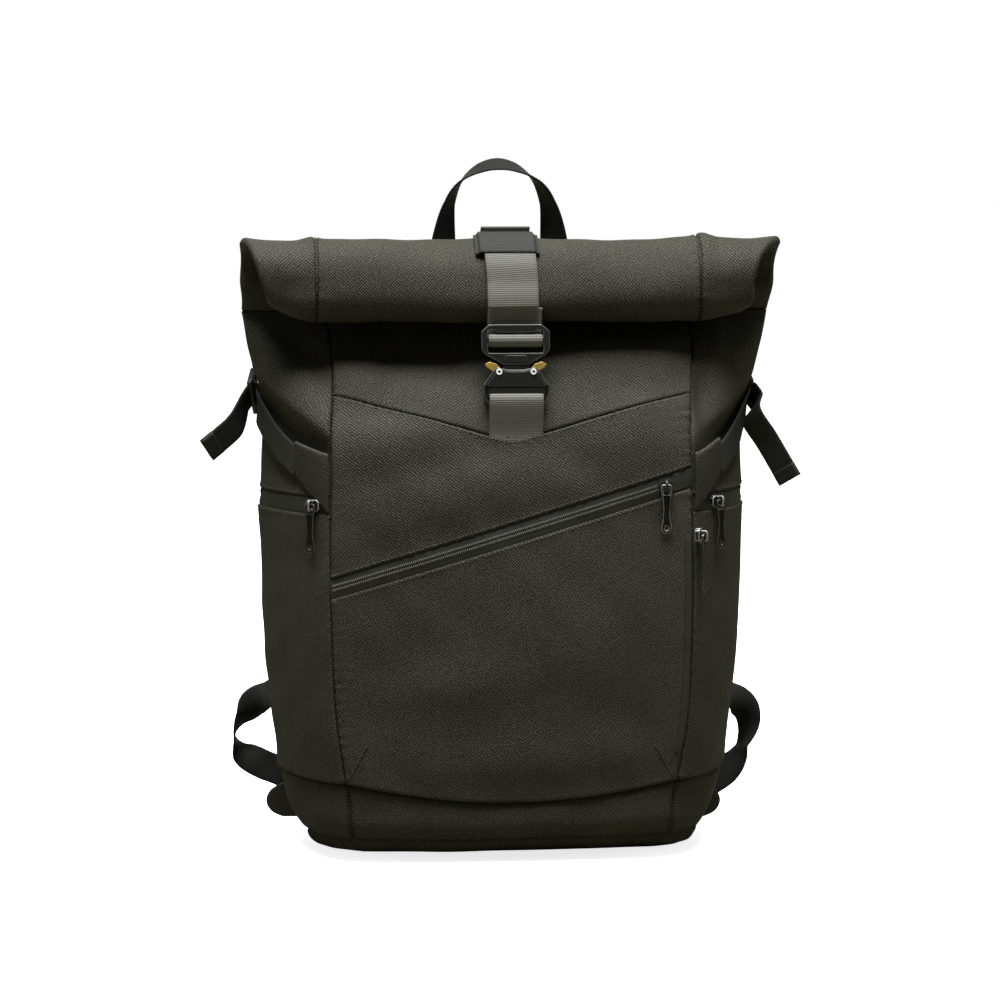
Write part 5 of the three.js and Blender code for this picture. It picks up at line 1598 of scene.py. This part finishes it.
def strip_on_surface(name, turns, heights, width, thickness, off, finish):
    line, out = surface_line(turns, heights, off)
    return strip_piece(name, line, np.cross(np.gradient(line, axis=0), out), width, thickness, finish)


heights = np.linspace(WELT["low"], WELT["high"], WELT["stops"])
turns = WELT["turn"] - WELT_FOOT["by"] * ramp(WELT_FOOT["from"] - heights, 0, WELT_FOOT["over"]) ** 2
off = WELT["off"] - WELT["thickness"] * ramp(heights - WELT["high"] + WELT_TOP, 0, WELT_TOP)
welt = strip_on_surface("edge_welt", turns, heights, WELT["width"], WELT["thickness"], off, TAPE)
settle(welt, "zipper_tape")
for side, (top, foot) in DARTS.items():
    turns, heights = np.linspace(top, foot, DART["stops"]).T
    off = DART["off"] + AT_BASE[1] * np.exp((base_seam(turns) - heights) / AT_BASE[2])
    name, size = f"pocket_dart_{side}", (DART["width"], DART["thickness"])
    settle(strip_on_surface(name, turns, heights, *size, off, CLOTH), "body_cloth")


def end_patch():
    turn = np.linspace(PATCH["from"], PATCH["to"], PATCH_GRID[1])[None]
    share = np.linspace(-1, 1, PATCH_GRID[0])[:, None]
    z = front_zip(turn) + share * (FRONT_ZIP["half"] - PATCH["inside"])
    turn = np.broadcast_to(turn, z.shape)
    edge = np.minimum(1 - np.abs(share) + 0 * turn, (turn - PATCH["from"]) / PATCH_EDGE["turn"])
    place, out = surface_line(turn, z, PATCH["off"])
    outer = place - out * turned_in(edge * PATCH_EDGE["length"], PATCH_EDGE["round"])[..., None]
    piece = sheet_piece("front_zip_end", outer, outer - out * PATCH["wall"], flat_cut(place), TAPE)
    cloth_area(place)
    return settle(piece, "zipper_tape")


end_patch()

# %% [markdown]
# ## Padded back and shoulder pads
# The back panel and the shoulder pads are foam between two cloths. Cloth simulation gives them their soft
# swelling: a slightly thin shape is inflated for a few frames with gravity off, and no point may move further
# than a cap. Their sewn edges are pinned, so they stay where they are. A voxel remesh would even out the mesh
# first, but its voxels would leave steps along these thin edges.

# %% Padded back and shoulder pads
PAD = {"width": 61.0, "thickness": 13.0, "edge": 0.6, "swell": 0.25}
PAD_ROUTE = np.array([  # x, y, z, lean, share of the width
    [62, 62, 358, 0, 0.9],
    [68, 78, 336, 0, 1],
    [76, 92, 296, 0.1, 1],
    [90, 98, 240, 0.25, 1],
    [108, 96, 184, 0.3, 0.9],
    [124, 89, 140, 0.35, 0.58],
], float)
INFLATE = {"pressure": 4.0, "frames": 20, "thin": 0.82, "cap": 3 * MM}


def inflate(piece, sewn):
    """Swells a closed piece as a pad: its sewn points are pinned, and none moves further than a cap."""
    mesh, cap = piece.data, INFLATE["cap"]
    start = np.array([v.co for v in mesh.vertices])
    seam = piece.vertex_groups.new(name="sewn")
    seam.add([int(i) for i in sewn], 1.0, "REPLACE")
    cloth = piece.modifiers.new("cloth", "CLOTH")
    cloth.settings.vertex_group_mass = seam.name
    cloth.settings.use_pressure, cloth.settings.uniform_pressure_force = True, INFLATE["pressure"]
    cloth.settings.effector_weights.gravity = 0.0
    for number in range(1, INFLATE["frames"] + 1):
        bpy.context.scene.frame_set(number)
    swollen = piece.evaluated_get(bpy.context.evaluated_depsgraph_get())
    end = np.array([v.co for v in swollen.data.vertices])
    piece.modifiers.clear()
    bpy.context.scene.frame_set(1)
    move = end - start
    far = np.linalg.norm(move, axis=1, keepdims=True)
    mesh.vertices.foreach_set("co", (start + move * np.minimum(1, cap / np.maximum(far, 1e-9))).ravel())
    piece.vertex_groups.clear()
    print("swelled:", piece.name, "by", round(float(np.minimum(far, cap).max()) / MM, 1), "mm")


for side, sign in SIDES:
    stops = PAD_ROUTE[:, :3] * [sign, 1, 1]
    widths = np.stack([np.full(len(PAD_ROUTE), sign), np.zeros(len(PAD_ROUTE)), PAD_ROUTE[:, 3]], -1)
    thick = PAD["thickness"] * INFLATE["thin"] * PAD["edge"]
    filled = {"finish": MESH_CLOTH, "swell": thick * PAD["swell"], "shares": PAD_ROUTE[:, 4]}
    pad = strip_piece(f"shoulder_pad_{side}", stops, widths, PAD["width"], thick, **filled)
    points = np.arange(len(pad.data.vertices)).reshape(-1, 2 * STRIP_COLUMNS + 2)
    sewn = np.concatenate([points[0], points[-1], points[:, 0], points[:, STRIP_COLUMNS + 1]])
    inflate(pad, sewn)
    settle(pad, "padded_cloth", f"shoulder_pad_{side}")

BACK = {"span": (2.0, 3.0), "width": 290.0, "inside": 6.5, "round": 6.0, "turned": 0.6}
BACK_GRID = (90, 70)


def back_piece():
    turn = np.linspace(*BACK["span"], BACK_GRID[1])[None]
    z = np.linspace(BASE_SEAM["side"], COLLAR_SEAM, BACK_GRID[0])[:, None] + 0 * turn
    turn = np.broadcast_to(turn, z.shape)
    place, out = body_place(turn, z), body_out(turn, z)
    beside = np.minimum(turn - BACK["span"][0], BACK["span"][1] - turn) * BACK["width"]
    rim = np.minimum(beside, np.minimum(z - z[0, 0], z[-1, 0] - z))
    outer = place - out * turned_in(rim, BACK["round"])[..., None] * BACK["turned"]
    inner = place - out * BACK["inside"]
    edge = np.flatnonzero(rim.ravel() <= 0)
    sewn = np.concatenate([edge, edge + rim.size])
    return sheet_piece("back_panel", outer, inner, flat_cut(place), MESH_CLOTH), sewn


back, sewn = back_piece()
inflate(back, sewn)
settle(back, "padded_cloth", "back_panel")

# %% [markdown]
# ## Rows of beads
# Stitches and teeth are small shapes repeated along a line, which Geometry Nodes do well. The lines are a
# mesh of edges whose points carry the direction out of the cloth. The tree turns them into curves, puts a
# small rounded bead at every step, lays it along the line with its back to the cloth, and makes it all real
# mesh.

# %% Rows of beads
BEAD_INPUTS = {"Lines": "Geometry", "Pitch": "Float", "Size": "Vector", "Finish": "Material"}
BEAD = {"Segments": 6, "Rings": 4, "Radius": 0.5}


def bead_tree():
    group = bpy.data.node_groups.new("beads_along_lines", "GeometryNodeTree")
    for label, kind in BEAD_INPUTS.items():
        group.interface.new_socket(name=label, in_out="INPUT", socket_type=f"NodeSocket{kind}")
    group.interface.new_socket(name="Beads", in_out="OUTPUT", socket_type="NodeSocketGeometry")
    tree = Tree(group)
    given = tree.node("NodeGroupInput")
    curves = tree.node("GeometryNodeMeshToCurve", {}, {"Mesh": given})
    inputs = {"Curve": curves, "Length": given.other("Pitch")}
    points = tree.node("GeometryNodeCurveToPoints", {"mode": "LENGTH"}, inputs)
    out = tree.node("GeometryNodeInputNamedAttribute", {"data_type": "FLOAT_VECTOR"}, {"Name": "out"})
    lying = tree.node("FunctionNodeAlignRotationToVector", {"axis": "X"}, {"Vector": points.other("Tangent")})
    facing = {"axis": "Z", "pivot_axis": "X"}
    lying = tree.node("FunctionNodeAlignRotationToVector", facing, {"Rotation": lying, "Vector": out})
    bead = tree.node("GeometryNodeMeshUVSphere", {}, BEAD)
    inputs = {"Points": points, "Instance": bead, "Rotation": lying, "Scale": given.other("Size")}
    placed = tree.node("GeometryNodeInstanceOnPoints", {}, inputs)
    real = tree.node("GeometryNodeRealizeInstances", {}, {"Geometry": placed})
    smooth = tree.node("GeometryNodeSetShadeSmooth", {}, {"Geometry": real})
    done = tree.node("GeometryNodeSetMaterial", {}, {"Geometry": smooth, "Material": given.other("Finish")})
    end = group.nodes.new("NodeGroupOutput")
    tree.feed(end.inputs["Beads"], done)
    return group


BEADS = bead_tree()


def bead_rows(name, lines, pitch, size, finish):
    """Beads along lines of (points, directions out), all in millimetres."""
    mesh = bpy.data.meshes.new(name)
    starts = np.cumsum([0] + [len(points) for points, _ in lines])
    edges = [(k, k + 1) for a, b in zip(starts[:-1], starts[1:]) for k in range(a, b - 1)]
    mesh.from_pydata((np.concatenate([points for points, _ in lines]) * MM).tolist(), edges, [])
    out = mesh.attributes.new("out", "FLOAT_VECTOR", "POINT")
    out.data.foreach_set("vector", np.concatenate([unit(normals) for _, normals in lines]).ravel())
    piece = put_in_scene(name, mesh)
    rows = piece.modifiers.new("beads", "NODES")
    rows.node_group = BEADS
    values = {"Pitch": pitch * MM, "Size": [s * MM for s in size], "Finish": finish}
    for item in BEADS.interface.items_tree:
        if item.in_out == "INPUT" and item.name in values:
            rows[item.identifier] = values[item.name]
    apply_modifiers(piece)
    return piece


print("bead tree ready:", len(BEADS.nodes), "nodes")

# %% [markdown]
# ## Stitches and zipper teeth
# The slanting zipper shows two rows of teeth. A row of thread runs along the pointed seam and along both
# edges of each zipper. A bump in the cloth's finish could draw them, but it would be lost from the meshes, so
# they are beads. The turned-in cloth stands up at these edges, and each row is raised by what is left of it.

# %% Stitches and zipper teeth
STITCH = {"pitch": 3.2, "size": (2.5, 0.65, 0.6), "lift": 0.05, "from": 0.012, "to": 0.988}
FROM_EDGE = {"yoke": 1.7, "zip": 1.8}  # how far a row of thread is from the edge
EDGE_LEFT = {"yoke": 0.72, "zip": 0.7}  # share of the edge's own rise at that distance
ON_YOKE = OVER_YOKE[1] * EDGE_LEFT["yoke"] + STITCH["lift"]
ON_ZIP = ZIPPED[1] * EDGE_LEFT["zip"] + STITCH["lift"]
RUN_STOPS, SIDE_STOPS, SIDE_END = 120, 90, 0.01
TEETH = {"pitch": 1.35, "size": (0.8, 2.5, 1.7), "apart": 1.5, "off": 0.1, "from": 0.008, "to": 0.92}
zip_run, front_run = (np.linspace(row["from"], row["to"], RUN_STOPS) for row in (TEETH, STITCH))
lines = [surface_line(zip_run, front_zip(zip_run) + s * TEETH["apart"], TEETH["off"]) for s in (1, -1)]
settle(bead_rows("front_zip_teeth", lines, TEETH["pitch"], TEETH["size"], COIL), "zipper_tape")

half = FRONT_ZIP["half"]
lines = [
    surface_line(front_run, yoke_seam(front_run) - FROM_EDGE["yoke"], ON_YOKE),
    surface_line(front_run, front_zip(front_run) + half + FROM_EDGE["zip"], ON_ZIP),
    surface_line(front_run, front_zip(front_run) - half - FROM_EDGE["zip"], ON_ZIP),
]
for side in ("left", "right"):
    run = np.linspace(SPANS[side][0] + SIDE_END, SPANS[side][1] - SIDE_END, SIDE_STOPS)
    for sign in (1, -1):
        z = np.full(SIDE_STOPS, SIDE_ZIP["middle"] + sign * (SIDE_ZIP["half"] + FROM_EDGE["zip"]))
        lines.append(surface_line(run, z, ON_ZIP))
settle(bead_rows("seam_stitches", lines, STITCH["pitch"], STITCH["size"], THREAD), "body_cloth")
